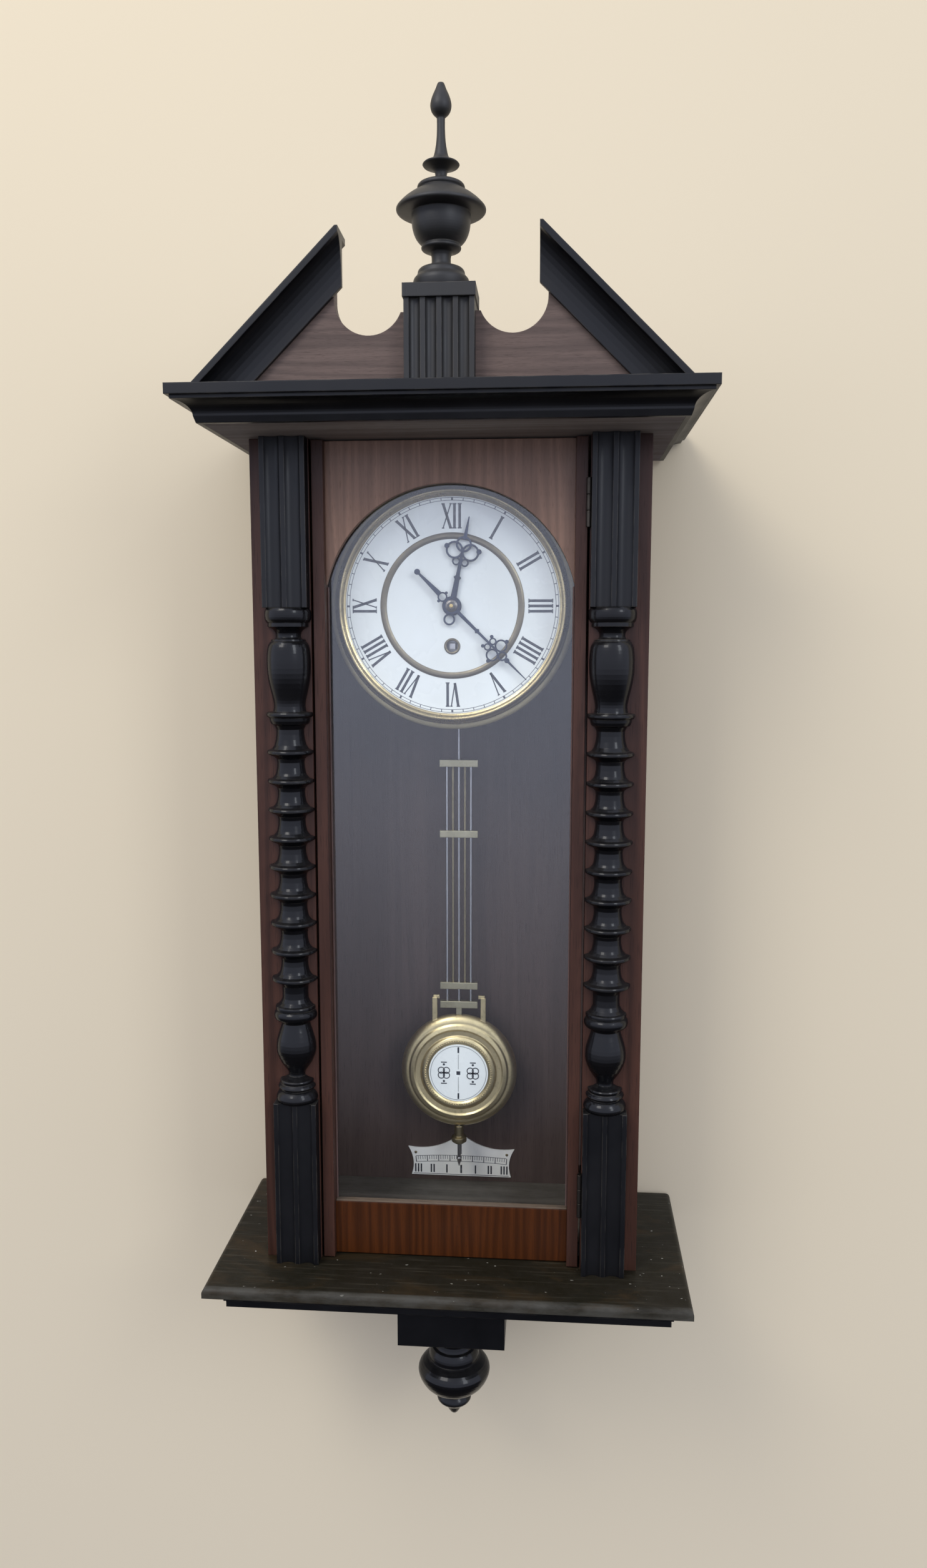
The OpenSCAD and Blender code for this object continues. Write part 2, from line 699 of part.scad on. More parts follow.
module finial() color(ebony) in_case() {
    k = finial_h/133.6;
    b = brim_r;
    f = foot_r;
    profile = concat(
        [[0, 0], [f - 0.6, 0]],
        smooth([[f - 0.2, 2], [f, 4.5], [f - 0.6, 6.8], [f - 2, 8.4], [f - 3, 9.8]]),
        smooth([[f - 3.1, 10.6], [f - 3.5, 12.2], [f - 4.8, 13.6], [f - 7.6, 14.6]]),
        smooth([[7.6, 15.2], [6.8, 17], [6.6, 19.6], [6.8, 22.2], [7.8, 24.4]]),
        smooth([[12.6, 25.9], [13.5, 26.6], [13.8, 27.6], [13.3, 28.7]]),
        smooth([[13.1, 29.4], [15.3, 31.2], [17.3, 33.7], [18.7, 36.6], [19.7, 40], [20.2, 43.6],
            [20.3, 47.4], [20.5, 49.6]]),
        smooth([[b*0.8, 49.9], [b*0.92, 50.3], [b*0.98, 51], [b, 52.2], [b*0.985, 53.5],
            [b*0.93, 55.4], [b*0.84, 58], [b*0.72, 60.8], [b*0.6, 63.1], [16.2, 64.4]]),
        smooth([[15.4, 65.2], [16.2, 66.2], [16.3, 67.2], [15.4, 68.6], [12.6, 69.8], [8.6, 70.7]]),
        smooth([[5.2, 71.4], [4.1, 73], [4, 75.2], [4.7, 77.2], [7, 78.8], [10, 80],
            [12.1, 80.7]]),
        smooth([[12.7, 81.5], [12, 82.4], [9.8, 83.2], [7.2, 84.4], [5.3, 86.6], [4.4, 89.6],
            [3.6, 93.6], [3, 99], [2.75, 105.6], [2.8, 111.2]]),
        smooth([[3.4, 112.2], [5.2, 113.8], [6.6, 116], [7.2, 118.6], [7.1, 120.8], [6.4, 123.7],
            [5.2, 126.7], [3.8, 129.6], [2.7, 132.4], [2.1, 133.6]]),
        [[0, 133.6]]);
    translate([0, -finial_y, cap_top]) rotate_extrude($fn = fine)
        polygon([for (p = profile) [p[0], p[1]*k]]);
}

// Base

module base_shelf() color(ebony) in_case() difference() {
    box(-shelf_w/2, shelf_w/2, shelf_d, 0, -shelf_drop - shelf_t, -shelf_drop);
    translate([-shelf_w/2 - over, -shelf_d, -shelf_drop]) rotate([90, 0, 90])
        linear_extrude(shelf_w + 2*over) rounding();
    both_sides() translate([shelf_w/2, -shelf_d - over, -shelf_drop]) rotate([90, 0, 180])
        linear_extrude(shelf_d + 2*over) rounding();
}

// What is cut away to round an edge that lies at the origin
module rounding() difference() {
    translate([-over, -shelf_round]) square([over + shelf_round, shelf_round + over]);
    translate([shelf_round, -shelf_round]) circle(shelf_round, $fn = small);
}

module base_moulding() color(ebony) in_case() {
    x = shelf_w/2 - moulding_in;
    y = shelf_d - moulding_in;
    bead = 4;
    box(-x, x, y, 0, moulding_top - bead, moulding_top);
    box(-x + moulding_draw/2, x - moulding_draw/2, y - moulding_draw/2, 0,
        moulding_top - moulding_h*0.62, moulding_top - bead);
    box(-x + moulding_draw, x - moulding_draw, y - moulding_draw, 0,
        moulding_top - moulding_h, moulding_top - moulding_h*0.62);
}

module pendant_block() color(ebony) in_case()
    box(-pend_w/2, pend_w/2, pend_y + pend_d/2, pend_y - pend_d/2, drop_top, block_top);

module pendant_drop() color(ebony) in_case() {
    k = drop_h/81.7;
    profile = concat(
        [[0, 0], [20, 0]],
        smooth([[20.4, -1.2], [20.6, -3], [19.6, -5]]),
        smooth([[17.4, -5.6], [15.6, -9], [15.2, -13], [16.4, -17]]),
        smooth([[19, -17.8], [20.6, -20.4], [21.6, -24], [21.4, -27.4]]),
        smooth([[22.6, -28.4], [drop_r*0.87, -31.2], [drop_r*0.97, -35.2], [drop_r, -39.3],
            [drop_r*0.96, -44.2], [drop_r*0.86, -49.7], [drop_r*0.71, -54.2], [16.8, -58],
            [13.4, -60.6]]),
        smooth([[12.6, -61.4], [14, -63.4], [14.8, -65.8], [13.8, -68], [10.7, -70.8], [7.4, -73.4]]),
        smooth([[6.8, -74.2], [5.6, -76.4], [4.1, -79], [2.4, -81], [0.8, -81.6]]),
        [[0, -81.7]]);
    translate([0, -pend_y, drop_top]) rotate_extrude($fn = fine)
        polygon([for (p = profile) [p[0], p[1]*k]]);
}

// Hanging plate let into the back, with a keyhole for the nail

module hanger_plate() color(steel) in_case() slab(hanger_t, 0) difference() {
    translate([-hanger_w/2, hang_h - hanger_h/2]) square([hanger_w, hanger_h]);
    translate([0, hang_h]) circle(hanger_r, $fn = fine);
    translate([-keyhole_w/2, hang_h]) square([keyhole_w, keyhole_rise]);
    for (at = hanger_screw_at) translate(at) circle(screw_r, $fn = small);
}

// A cheese head screw pointing into the wall side or out of it
module case_screw(at, head_at, tip_at, toward) {
    head = 1.2*toward;
    pin_y(at, screw_r - 0.1, max(head_at, tip_at), min(head_at, tip_at), small);
    if (toward != 0) pin_y(at, screw_r*1.9, max(head_at, head_at + head), min(head_at, head_at + head), small);
}

module screws() color(steel) in_case() {
    for (at = hanger_screw_at) case_screw(at, 0.2, back_t - 3.5, 0);
    for (at = bracket_screw_at) case_screw(at, back_t + bracket_t, 2.5, 1);
    for (at = pillar_at) case_screw(at, front_plate_f, front_plate_d - 4, 1);
    for (at = cock_screw_at) case_screw(at, back_plate_d - cock_t, back_plate_d, -1);
}

// Hinges

module hinge_leaves() color(brass) in_case() for (z = hinge_heights) {
    third = hinge_h/3;
    pin_z(z - hinge_h/2, hinge_h, hinge_pin_r);
    box(opening_x - leaf_t, opening_x, case_d, case_d - leaf_w, z - hinge_h/2, z + hinge_h/2);
    for (low = [z - hinge_h/2, z + hinge_h/2 - third]) {
        pin_z(low, third, knuckle_r);
        box(opening_x - leaf_t, opening_x, hinge_y, case_d - over, low, low + third);
    }
}

module pin_z(low, height, r) {
    translate([hinge_x, -hinge_y, low]) cylinder(h = height, r = r, $fn = small);
}

module hinge_door_leaves() color(brass) in_case() for (z = hinge_heights) difference() {
    low = z - hinge_h/6 + air/2;
    tall = hinge_h/3 - air;
    union() {
        pin_z(low, tall, knuckle_r);
        box(door_w/2, door_w/2 + leaf_t, hinge_y, case_d - over, low, low + tall);
        box(door_w/2, door_w/2 + leaf_t, case_d, case_d - leaf_w, z - hinge_h/2, z + hinge_h/2);
    }
    pin_z(low - over, tall + 2*over, hinge_pin_r + run_fit);
}

// Flat spring strip behind the left stile that the closed door rests against
module door_catch() color(brass) in_case() {
    strip_t = stile_back - (case_d - door_t) + 0.9;
    box(-opening_x - 14, -opening_x, stile_back, stile_back - 0.8, -230, -200);
    box(-opening_x, -door_w/2 + 5, case_d - door_t - air, case_d - door_t - air - strip_t,
        -222, -208);
}

// Door

module door_stiles() color(plumwood) in_case() both_sides() difference() {
    box(door_w/2 - door_stile_w, door_w/2, case_d, case_d - door_t,
        -shelf_drop + door_rise, soffit_h - door_rise);
    box(door_w/2 - door_stile_w - over, glass_x, glass_f, case_d - door_t - over,
        glass_low, soffit_h);
}

module arch_panel() color(walnut) in_case() slab(glass_f + panel_t, glass_f) difference() {
    translate([-panel_x, arch_top - arch_r + arch_foot])
        square([2*panel_x, soffit_h - door_rise - (arch_top - arch_r + arch_foot)]);
    translate([0, arch_top - arch_r]) circle(arch_r, $fn = fine);
}

module bottom_rail() color(redwood) in_case() difference() {
    box(-panel_x, panel_x, case_d - panel_in, case_d - door_t,
        -shelf_drop + door_rise, -shelf_drop + rail_h);
    box(-panel_x - over, panel_x + over, glass_f, case_d - door_t - over, glass_low, 0);
}

module glass() color(white, 0.25) in_case()
    box(-glass_x + 0.2, glass_x - 0.2, glass_f, glass_f - glass_t,
        glass_low, soffit_h - door_rise - 2);

// Beat scale on the back board

module beat_scale() color(white) in_case() slab(back_t + scale_t, back_t) {
    half = scale_w/2;
    ends = scale_low + scale_h;
    translate([0, 0]) polygon(concat(
        [[-half + 3, scale_low], [half - 3, scale_low]],
        bow([half - 3, scale_low], [half, ends], 3.2),
        bow([half, ends], [5.5, ends + scale_peak - 5], 4.5, 10),
        [[0, ends + scale_peak]],
        bow([-5.5, ends + scale_peak - 5], [-half, ends], 4.5, 10),
        bow([-half, ends], [-half + 3, scale_low], 3.2)));
}

// Movement

// Two steel arms from the back board to the movement's back plate
module movement_bracket() color(steel) in_case() both_sides() {
    difference() {
        box(bracket_x - 6, bracket_x + 6, back_t + bracket_t, back_t, -64, -36);
        for (at = bracket_screw_at) pin_y(at, screw_r, back_t + bracket_t + over, back_t - over, small);
    }
    box(bracket_x - 6, bracket_x - 6 + bracket_t, back_plate_d, back_t, -58, -42);
}

module movement_plate(front, back) difference() {
    slab(front, back) difference() {
        translate([-plate_w/2, -plate_low]) square([plate_w, plate_low + plate_top]);
        children();
    }
}

module front_plate() color(brass) in_case() {
    movement_plate(front_plate_f, front_plate_d) {
        circle(centre_r + run_fit, $fn = fine);
        translate(barrel_at) circle(barrel_arbor_r + run_fit, $fn = fine);
        for (at = [inter_at, third_at, escape_at, pallet_at])
            translate(at) circle(pivot_r + run_fit, $fn = small);
        for (at = pillar_at) translate(at) circle(screw_r, $fn = small);
    }
    pin_y(minute_at, arbor_r, minute_pinion_plane[0] + 1.2, front_plate_f - over, small);
}

module back_plate() color(brass) in_case()
    movement_plate(back_plate_f, back_plate_d) {
        for (at = [centre_at, inter_at, third_at, escape_at])
            translate(at) circle(pivot_r + run_fit, $fn = small);
        translate(barrel_at) circle(barrel_arbor_r + run_fit, $fn = fine);
        translate(pallet_at) circle(3.4, $fn = small);
    }

module pillars() color(brass) in_case() for (at = pillar_at) difference() {
    turned_y(at, [[0, back_plate_f], [pillar_r, back_plate_f], [pillar_r, back_plate_f + 4],
        [pillar_r - 1, back_plate_f + 6], [pillar_r - 1, front_plate_d - 6],
        [pillar_r, front_plate_d - 4], [pillar_r, front_plate_d], [0, front_plate_d]]);
    pin_y(at, screw_r, front_plate_d + over, front_plate_d - 5, small);
}

// Bridge behind the back plate that carries the pallet arbor and the suspension
module back_cock() color(brass) in_case() difference() {
    union() {
        both_sides() box(16, 24, back_plate_d, back_plate_d - cock_t, pallet_h - 3, pallet_h + 11);
        both_sides() box(13.6, 16, back_plate_d, back_plate_d - cock_d, pallet_h - 3, pallet_h + 11);
        box(-16, 16, back_plate_d - cock_d + cock_t, back_plate_d - cock_d, pallet_h - 3, pallet_h + 11);
        box(-4, 4, back_plate_d - cock_d, swing_d - 4, pallet_h + 4, pallet_h + 11);
    }
    pin_y(pallet_at, pivot_r + run_fit, back_plate_d, swing_d, small);
    box(-0.1, 0.1, swing_d + 3.2, swing_d - 3.2, 0, spring_top);
    for (at = cock_screw_at) pin_y(at, screw_r, back_plate_d + over, back_plate_d - cock_t - over, small);
}

// Dial

module dial_plate() color(brass) in_case() difference() {
    union() {
        pin_y(centre_at, dial_r + 4, dial_back, dial_back - dial_plate_t);
        for (at = foot_at) pin_y(at, 2, dial_back - dial_plate_t + 0.1, front_plate_f, small);
    }
    pin_y(centre_at, hour_pipe_r + 0.8, dial_back + over, dial_back - dial_plate_t - over);
    pin_y(barrel_at, eyelet_r - 1.6, dial_back + over, dial_back - dial_plate_t - over);
}

module dial_enamel() color(white) in_case() slab(dial_d, dial_back) {
    difference() {
        circle(dial_r, $fn = fine);
        circle(gilt_out_r, $fn = fine);
    }
    difference() {
        circle(gilt_in_r, $fn = fine);
        circle(hour_pipe_r + 0.8, $fn = fine);
        translate(barrel_at) circle(eyelet_r, $fn = fine);
    }
}

module dial_rings() color(brass) in_case() {
    mid = (gilt_in_r + gilt_out_r)/2;
    turned_y(centre_at, [[gilt_in_r, dial_back], [gilt_out_r, dial_back], [gilt_out_r, dial_d + 0.2],
        [mid + 0.8, dial_d + 0.9], [mid - 0.8, dial_d + 0.9], [gilt_in_r, dial_d + 0.2]]);
    turned_y(barrel_at, [[eyelet_r - 2, dial_back], [eyelet_r, dial_back], [eyelet_r, dial_d + 0.3],
        [eyelet_r - 0.9, dial_d + 1], [eyelet_r - 2, dial_d + 0.5]]);
}

module bezel() color(brass) in_case() {
    f = dial_d + bezel_out;
    back = dial_back - dial_plate_t - 3;
    turned_y(centre_at, concat(
        [[dial_r + 4, back], [bezel_r - 0.6, back], [bezel_r, back + 1]],
        arc(bezel_r - 2.4, dial_d + 1.2, 2.4, 0, 80),
        [[bezel_r - 2.6, f - 1.4]],
        arc(bezel_r - 4.4, f - 1.7, 1.7, 20, 160),
        [[bezel_r - 6.4, f - 2.6], [bezel_r - 6.6, dial_d + 1.6], [dial_r - 0.6, dial_d + 0.7],
         [dial_r - 0.6, dial_d], [dial_r, dial_d], [dial_r, dial_back], [dial_r + 4, dial_back]]));
}

// Toothed wheels

// Outline of a wheel whose first tooth, or first gap, points along aim
module toothed(n, m, aim, tall, deep, on_gap = false) {
    pitch = 360/n;
    r = n*m/2;
    start = aim + (on_gap ? pitch/2 : 0);
    half = pitch*0.19;
    polygon([for (i = [0:n - 1]) let (a = start + i*pitch)
        for (p = [[r - deep*m, -half*1.15], [r, -half], [r + tall*m, -half*0.45],
                  [r + tall*m, half*0.45], [r, half], [r - deep*m, half*1.15]])
            [p[0]*cos(a + p[1]), p[0]*sin(a + p[1])]]);
}

// Spokes left by cutting windows between a hub and a rim
module spoked(hub, rim, spokes, spoke_w) difference() {
    circle(rim, $fn = fine);
    circle(hub, $fn = fine);
    for (i = [0:spokes - 1]) rotate(i*360/spokes) translate([0, -spoke_w/2]) square([rim + over, spoke_w]);
}

module wheel(plane, at, n, m, aim, hub = 4, spoke_w = 2.4) slab(plane[0], plane[1])
    translate(at) difference() {
        toothed(n, m, aim, 0.8, 1.1);
        spoked(hub, n*m/2 - 1.1*m - 2, 5, spoke_w);
    }

module pinion(plane, at, n, m, aim) slab(plane[0], plane[1])
    translate(at) toothed(n, m, aim, 0.7, 1.15, true);

// An arbor with its two pivots in the plates
module arbor(at, r) {
    pin_y(at, r, front_plate_d - shake, back_plate_f + shake, small);
    pin_y(at, pivot_r, front_plate_f, back_plate_d, small);
}

module escape_wheel() color(brass) in_case() {
    root_r = escape_r - 2.4;
    pitch = 360/escape_n;
    arbor(escape_at, arbor_r);
    pinion(escape_pinion_plane, escape_at, escape_pinion_n, m_third, heading(escape_at, third_at));
    slab(escape_plane[0], escape_plane[1]) translate(escape_at) difference() {
        polygon([for (i = [0:escape_n - 1]) let (a = i*pitch)
            for (p = [[root_r, a - 2.2], [escape_r, a - 0.35], [escape_r, a + 0.35], [root_r, a + 3]])
                [p[0]*cos(p[1]), p[0]*sin(p[1])]]);
        spoked(2.8, root_r - 1.6, 5, 1.5);
    }
}

module third_wheel() color(brass) in_case() {
    arbor(third_at, arbor_r);
    wheel(third_plane, third_at, third_n, m_third, heading(third_at, escape_at));
    pinion(third_pinion_plane, third_at, third_pinion_n, m_centre, heading(third_at, centre_at));
}

module intermediate_wheel() color(brass) in_case() {
    arbor(inter_at, arbor_r);
    wheel(inter_plane, inter_at, inter_n, m_inter, heading(inter_at, centre_at));
    pinion(inter_pinion_plane, inter_at, inter_pinion_n, m_barrel, heading(inter_at, barrel_at));
}

module centre_wheel() color(brass) in_case() {
    pin_y(centre_at, centre_r, minute_hand_plane[0] + 3.4, back_plate_f + shake, small);
    pin_y(centre_at, pivot_r, front_plate_d, back_plate_d, small);
    wheel(centre_plane, centre_at, centre_n, m_centre, heading(centre_at, third_at));
    pinion(centre_pinion_plane, centre_at, centre_pinion_n, m_inter, heading(centre_at, inter_at));
}

module barrel() color(brass) in_case() {
    bore = barrel_arbor_r + run_fit;
    front = drum_plane[0];
    slab(great_plane[0], great_plane[1]) translate(barrel_at) difference() {
        toothed(barrel_n, m_barrel, heading(barrel_at, inter_at), 0.8, 1.1);
        circle(bore, $fn = fine);
    }
    turned_y(barrel_at, [[bore, front - 1.6], [barrel_r - barrel_wall, front - 1.6],
        [barrel_r - barrel_wall, great_plane[0]], [barrel_r, great_plane[0]],
        [barrel_r, front], [bore, front]]);
}

// Coiled spring strip inside the barrel
module mainspring() color(steel) in_case() {
    turns = 7;
    strip = 0.6;
    inner = barrel_hub_r + 0.5;
    outer = barrel_r - barrel_wall - strip - 0.2;
    steps = turns*24;
    slab(drum_plane[0] - 2.4, drum_plane[1] + 0.8) translate(barrel_at)
        polygon(concat(
            [for (i = [0:steps]) let (r = inner + (outer - inner)*i/steps) [r*cos(i*15), r*sin(i*15)]],
            [for (i = [steps:-1:0]) let (r = inner + strip + (outer - inner)*i/steps)
                [r*cos(i*15), r*sin(i*15)]]));
}

module winding_arbor() color(steel) in_case() {
    half = square_r;
    pin_y(barrel_at, barrel_arbor_r, ratchet_plane[0], back_plate_d, fine);
    pin_y(barrel_at, barrel_hub_r, drum_plane[0] - 2, drum_plane[1] + 0.4, fine);
    slab(dial_back - dial_plate_t, ratchet_plane[0]) translate(barrel_at)
        translate([-half, -half]) square(2*half);
    slab(ratchet_plane[0], ratchet_plane[1]) translate(barrel_at)
        polygon([for (i = [0:ratchet_n - 1]) let (a = i*360/ratchet_n)
            for (p = [[ratchet_r, a], [ratchet_r - 1.8, a + 0.6]]) [p[0]*cos(p[1]), p[0]*sin(p[1])]]);
}

// One-piece spring pawl whose nose drops behind a ratchet tooth
module click() color(steel) in_case() slab(ratchet_plane[0], front_plate_f) translate(barrel_at) {
    nose = 7*360/ratchet_n + 1.6;
    inner = ratchet_r + air;
    outer = inner + 1.7;
    root = ratchet_r + 7;
    polygon(concat(
        [[(ratchet_r - 1.5)*cos(nose), (ratchet_r - 1.5)*sin(nose)]],
        arc(0, 0, inner, nose + 6, 172, 14),
        [[inner*cos(190), inner*sin(190)], [root*cos(190), root*sin(190)],
         [root*cos(172), root*sin(172)]],
        arc(0, 0, outer, 172, nose, 14)));
}

// Motion work

module cannon_pinion() color(steel) in_case() difference() {
    union() {
        pinion(cannon_plane, centre_at, cannon_n, m_cannon, heading(centre_at, minute_at));
        pin_y(centre_at, cannon_r, minute_hand_plane[0], cannon_plane[1]);
    }
    pin_y(centre_at, cannon_bore, minute_hand_plane[0] + over, front_plate_f);
}

module minute_wheel() color(brass) in_case() difference() {
    union() {
        wheel(minute_plane, minute_at, minute_n, m_cannon, heading(minute_at, centre_at));
        pinion(minute_pinion_plane, minute_at, minute_pinion_n, m_hour, heading(minute_at, centre_at));
    }
    pin_y(minute_at, arbor_r + run_fit, minute_pinion_plane[0] + over, front_plate_f, small);
}

module hour_wheel() color(brass) in_case() difference() {
    union() {
        slab(hour_plane[0], hour_plane[1])
            toothed(hour_n, m_hour, heading(centre_at, minute_at), 0.8, 1.1);
        pin_y(centre_at, hour_pipe_r, hour_hand_plane[0], hour_plane[1]);
    }
    pin_y(centre_at, hour_bore, hour_hand_plane[0] + over, front_plate_f);
}

// Hands, drawn pointing up

module ring(at, r, wall) translate(at) difference() {
    circle(r, $fn = small);
    circle(r - wall, $fn = small);
}

module hour_hand() color(blued) in_case()
    slab(hour_hand_plane[0], hour_hand_plane[1]) rotate(-hour_turn) difference() {
        head = hour_l*0.6;
        union() {
            circle(boss_r + 1, $fn = fine);
            polygon([[-2.4, 4], [2.4, 4], [1.9, 21], [3, 22.5], [1.5, 24], [1, head],
                [-1, head], [-1.5, 24], [-3, 22.5], [-1.9, 21]]);
            for (side = [-1, 1]) {
                ring([side*6.4, head + 1], 6.8, 1.5);
                ring([side*3.4, head - 7.4], 3.2, 1.2);
                translate([side*12.8, head + 3]) circle(2, $fn = small);
            }
            ring([0, head + 6.5], 6.2, 1.5);
            polygon([[-1.6, head + 10], [1.6, head + 10], [0.35, hour_l], [-0.35, hour_l]]);
            ring([0, -10.6], 4.6, 1.4);
        }
        circle(hour_pipe_r + hand_fit, $fn = fine);
    }

module minute_hand() color(blued) in_case()
    slab(minute_hand_plane[0], minute_hand_plane[1]) rotate(-hand_turn) difference() {
        head = minute_l*0.6;
        tail_l = minute_l*0.444;
        union() {
            circle(boss_r, $fn = fine);
            polygon([[-1.5, 4], [1.5, 4], [1.1, 26.5], [2.2, 28], [1, 29.5], [0.8, head],
                [-0.8, head], [-1, 29.5], [-2.2, 28], [-1.1, 26.5]]);
            for (side = [-1, 1]) {
                ring([side*5, head], 5, 1.3);
                ring([side*3, head - 7], 2.9, 1.1);
                translate([side*10.4, head + 1]) circle(1.6, $fn = small);
                translate([side*5, head - 10.2]) circle(1.4, $fn = small);
            }
            ring([0, head + 6.4], 3.8, 1.3);
            translate([0, head + 11.4]) circle(2, $fn = small);
            polygon([[-1, head + 9.4], [1, head + 9.4], [0.3, minute_l], [-0.3, minute_l]]);
            ring([0, -10], 3.9, 1.2);
            for (side = [-1, 1]) translate([side*4.4, -10]) circle(1.1, $fn = small);
            polygon([[-0.8, -tail_l], [0.8, -tail_l], [2, -13.2], [-2, -13.2]]);
            translate([0, -tail_l - 1.2]) circle(2.3, $fn = small);
        }
        circle(cannon_r + hand_fit, $fn = fine);
    }

module hand_nut() color(steel) in_case()
    turned_y(centre_at, [[centre_r + run_fit, minute_hand_plane[0]], [4.8, minute_hand_plane[0]],
        [4.8, minute_hand_plane[0] + 1], [3, minute_hand_plane[0] + 1.8],
        [2.4, minute_hand_plane[0] + 2.8], [centre_r + run_fit, minute_hand_plane[0] + 2.8]]);

// Escapement and pendulum

module anchor() color(steel) in_case() {
    reach = escape_r*tan(pallet_span/2);
    nib = 0.8;
    nib_l = 3.6;
    tip = pallet_span/2;
    crutch_low = -16;
    pin_y(pallet_at, arbor_r, front_plate_d - shake, back_plate_d - cock_d + cock_t + shake, small);
    pin_y(pallet_at, pivot_r, front_plate_f, back_plate_d - cock_d + 0.2, small);
    slab(escape_plane[0], escape_plane[1]) {
        translate(pallet_at) circle(2.4, $fn = small);
        for (side = [-1, 1]) {
            translate(escape_at) rotate(side*tip) translate([-nib/2, escape_r]) square([nib, nib_l]);
            end = escape_at + (escape_r + nib_l - 1)*[-side*sin(tip), cos(tip)];
            translate(pallet_at) rotate(heading(pallet_at, end)) translate([0, -1])
                square([gap(pallet_at, end), 2]);
        }
    }
    // Crutch arm and its pin through the pendulum's slot
    slab(back_plate_d - 1, back_plate_d - 2.2) {
        translate(pallet_at) circle(3, $fn = small);
        translate([-1.5, crutch_low - 2]) square([3, pallet_h - crutch_low + 2]);
    }
    pin_y([0, crutch_low], 0.9, back_plate_d - 1.5, swing_d - 5, small);
}

module suspension_spring() color(steel) in_case()
    box(-0.08, 0.08, swing_d + 3, swing_d - 3, hook_top - 5, spring_top);

module pendulum_hook() color(brass) in_case() difference() {
    union() {
        box(-4, 4, swing_d + 3.5, swing_d - 3.5, hook_low, hook_top);
        box(-1.9, 1.9, swing_d + 2, swing_d - 2, -22, hook_low);
    }
    box(-0.1, 0.1, swing_d + 4, swing_d - 4, hook_top - 5.2, hook_top + over);
    // Slot that the crutch pin drives
    box(-1, 1, swing_d + 3, swing_d - 3, -19, -13);
}

module rod(x, low, high, r) {
    translate([x, -swing_d, low]) cylinder(h = high - low, r = r, $fn = small);
}

module steel_rods() color(steel) in_case() {
    rod(0, bar_z[0] + bar_h/2, -22, upper_rod_r);
    for (i = [-1:1]) {
        for (k = [0:1]) rod(2*i*rod_pitch, bar_z[k + 1] + bar_h/2, bar_z[k] - bar_h/2, rod_r);
        rod(2*i*rod_pitch, bar_z[3] + bar_h/2, bar_z[2] - bar_h/2, rod_r);
    }
}

module brass_rods() color(brass) in_case() for (side = [-1, 1]) for (k = [0:1])
    rod(side*rod_pitch, bar_z[k + 1] + bar_h/2, bar_z[k] - bar_h/2, rod_r);

module crossbars() color(nickel) in_case() {
    for (z = bar_z) box(-bar_w/2, bar_w/2, swing_d + bar_d/2, swing_d - bar_d/2, z - bar_h/2, z + bar_h/2);
    // Flat tongue from the lowest bar down through the bob
    box(-bob_slot, bob_slot, swing_d + 1, swing_d - 1, tongue_low, bar_z[3] - bar_h/2);
}

// Horned bracket on the bob and the bob itself, slotted for the tongue
module bob_case() color(brass) in_case() difference() {
    union() {
        translate([0, 0, bob_z]) rotate([90, 0, 0]) translate([0, 0, swing_d])
            rotate_extrude($fn = fine) polygon(bob_profile());
        both_sides() {
            box(ear_x - 2.2, ear_x + 2.2, swing_d + 2.2, swing_d - 2.2, bob_z + 44, bar_z[3] + 6);
            box(bar_w/2 + 0.6, ear_x + 1.4, swing_d + 1.2, swing_d - 1.2, bar_z[3] + 5, bar_z[3] + 8);
        }
    }
    slot_y = rating_r + air/2;
    box(-bob_slot - air, bob_slot + air, swing_d + slot_y, swing_d - slot_y,
        bob_z - bob_r - over, bob_z + bob_r + over);
}

// Half section of the bob: radius and distance from its middle plane
function bob_profile() =
    let (h = bob_t/2, r = bob_r, e = bob_enamel_r)
    concat([[0, -h + 3], [r*0.55, -h + 1.6]],
        bow([r*0.55, -h + 1.6], [r, -1.2], -2, 8),
        [[r, 1.2]],
        bow([r, 1.2], [r*0.9, h - 3.4], -0.8, 6),
        [[r*0.86, h - 3.2], [r*0.83, h - 2], [r*0.77, h - 1.2], [r*0.74, h - 2.2],
         [r*0.66, h - 2.4], [r*0.63, h - 0.8], [e + 4, h], [e + 1.6, h],
         [e, h - 1.2], [e, h - 2], [0, h - 2]]);

module bob_enamel() color(white) in_case()
    translate([0, 0, bob_z]) rotate([90, 0, 0]) translate([0, 0, swing_d])
        rotate_extrude($fn = fine) polygon([[0, bob_t/2 - 2], [bob_enamel_r - 0.2, bob_t/2 - 2],
            [bob_enamel_r - 0.2, bob_t/2 - 1.1], [0, bob_t/2 - 0.8]]);

module rating_screw() color(steel) in_case() translate([0, -swing_d, 0]) {
    translate([0, 0, pointer_z + 8]) cylinder(h = tongue_low - pointer_z - 8, r = rating_r, $fn = small);
    translate([0, 0, pointer_z]) cylinder(h = 8, r1 = 0.4, r2 = rating_r + 1, $fn = small);
}

// Knurled nut whose sleeve reaches up to the bob's rim
module rating_nut() color(brass) in_case() translate([0, -swing_d, nut_z - nut_h]) difference() {
    rotate_extrude($fn = fine) polygon([[0, 0], [nut_r*0.6, 0], [nut_r, 2], [nut_r, nut_h - 2],
        [nut_r*0.62, nut_h - 1], [nut_r*0.62, nut_h + nut_sleeve], [0, nut_h + nut_sleeve]]);
    translate([0, 0, -over])
        cylinder(h = nut_h + nut_sleeve + 2*over, r = rating_r + run_fit, $fn = fine);
}

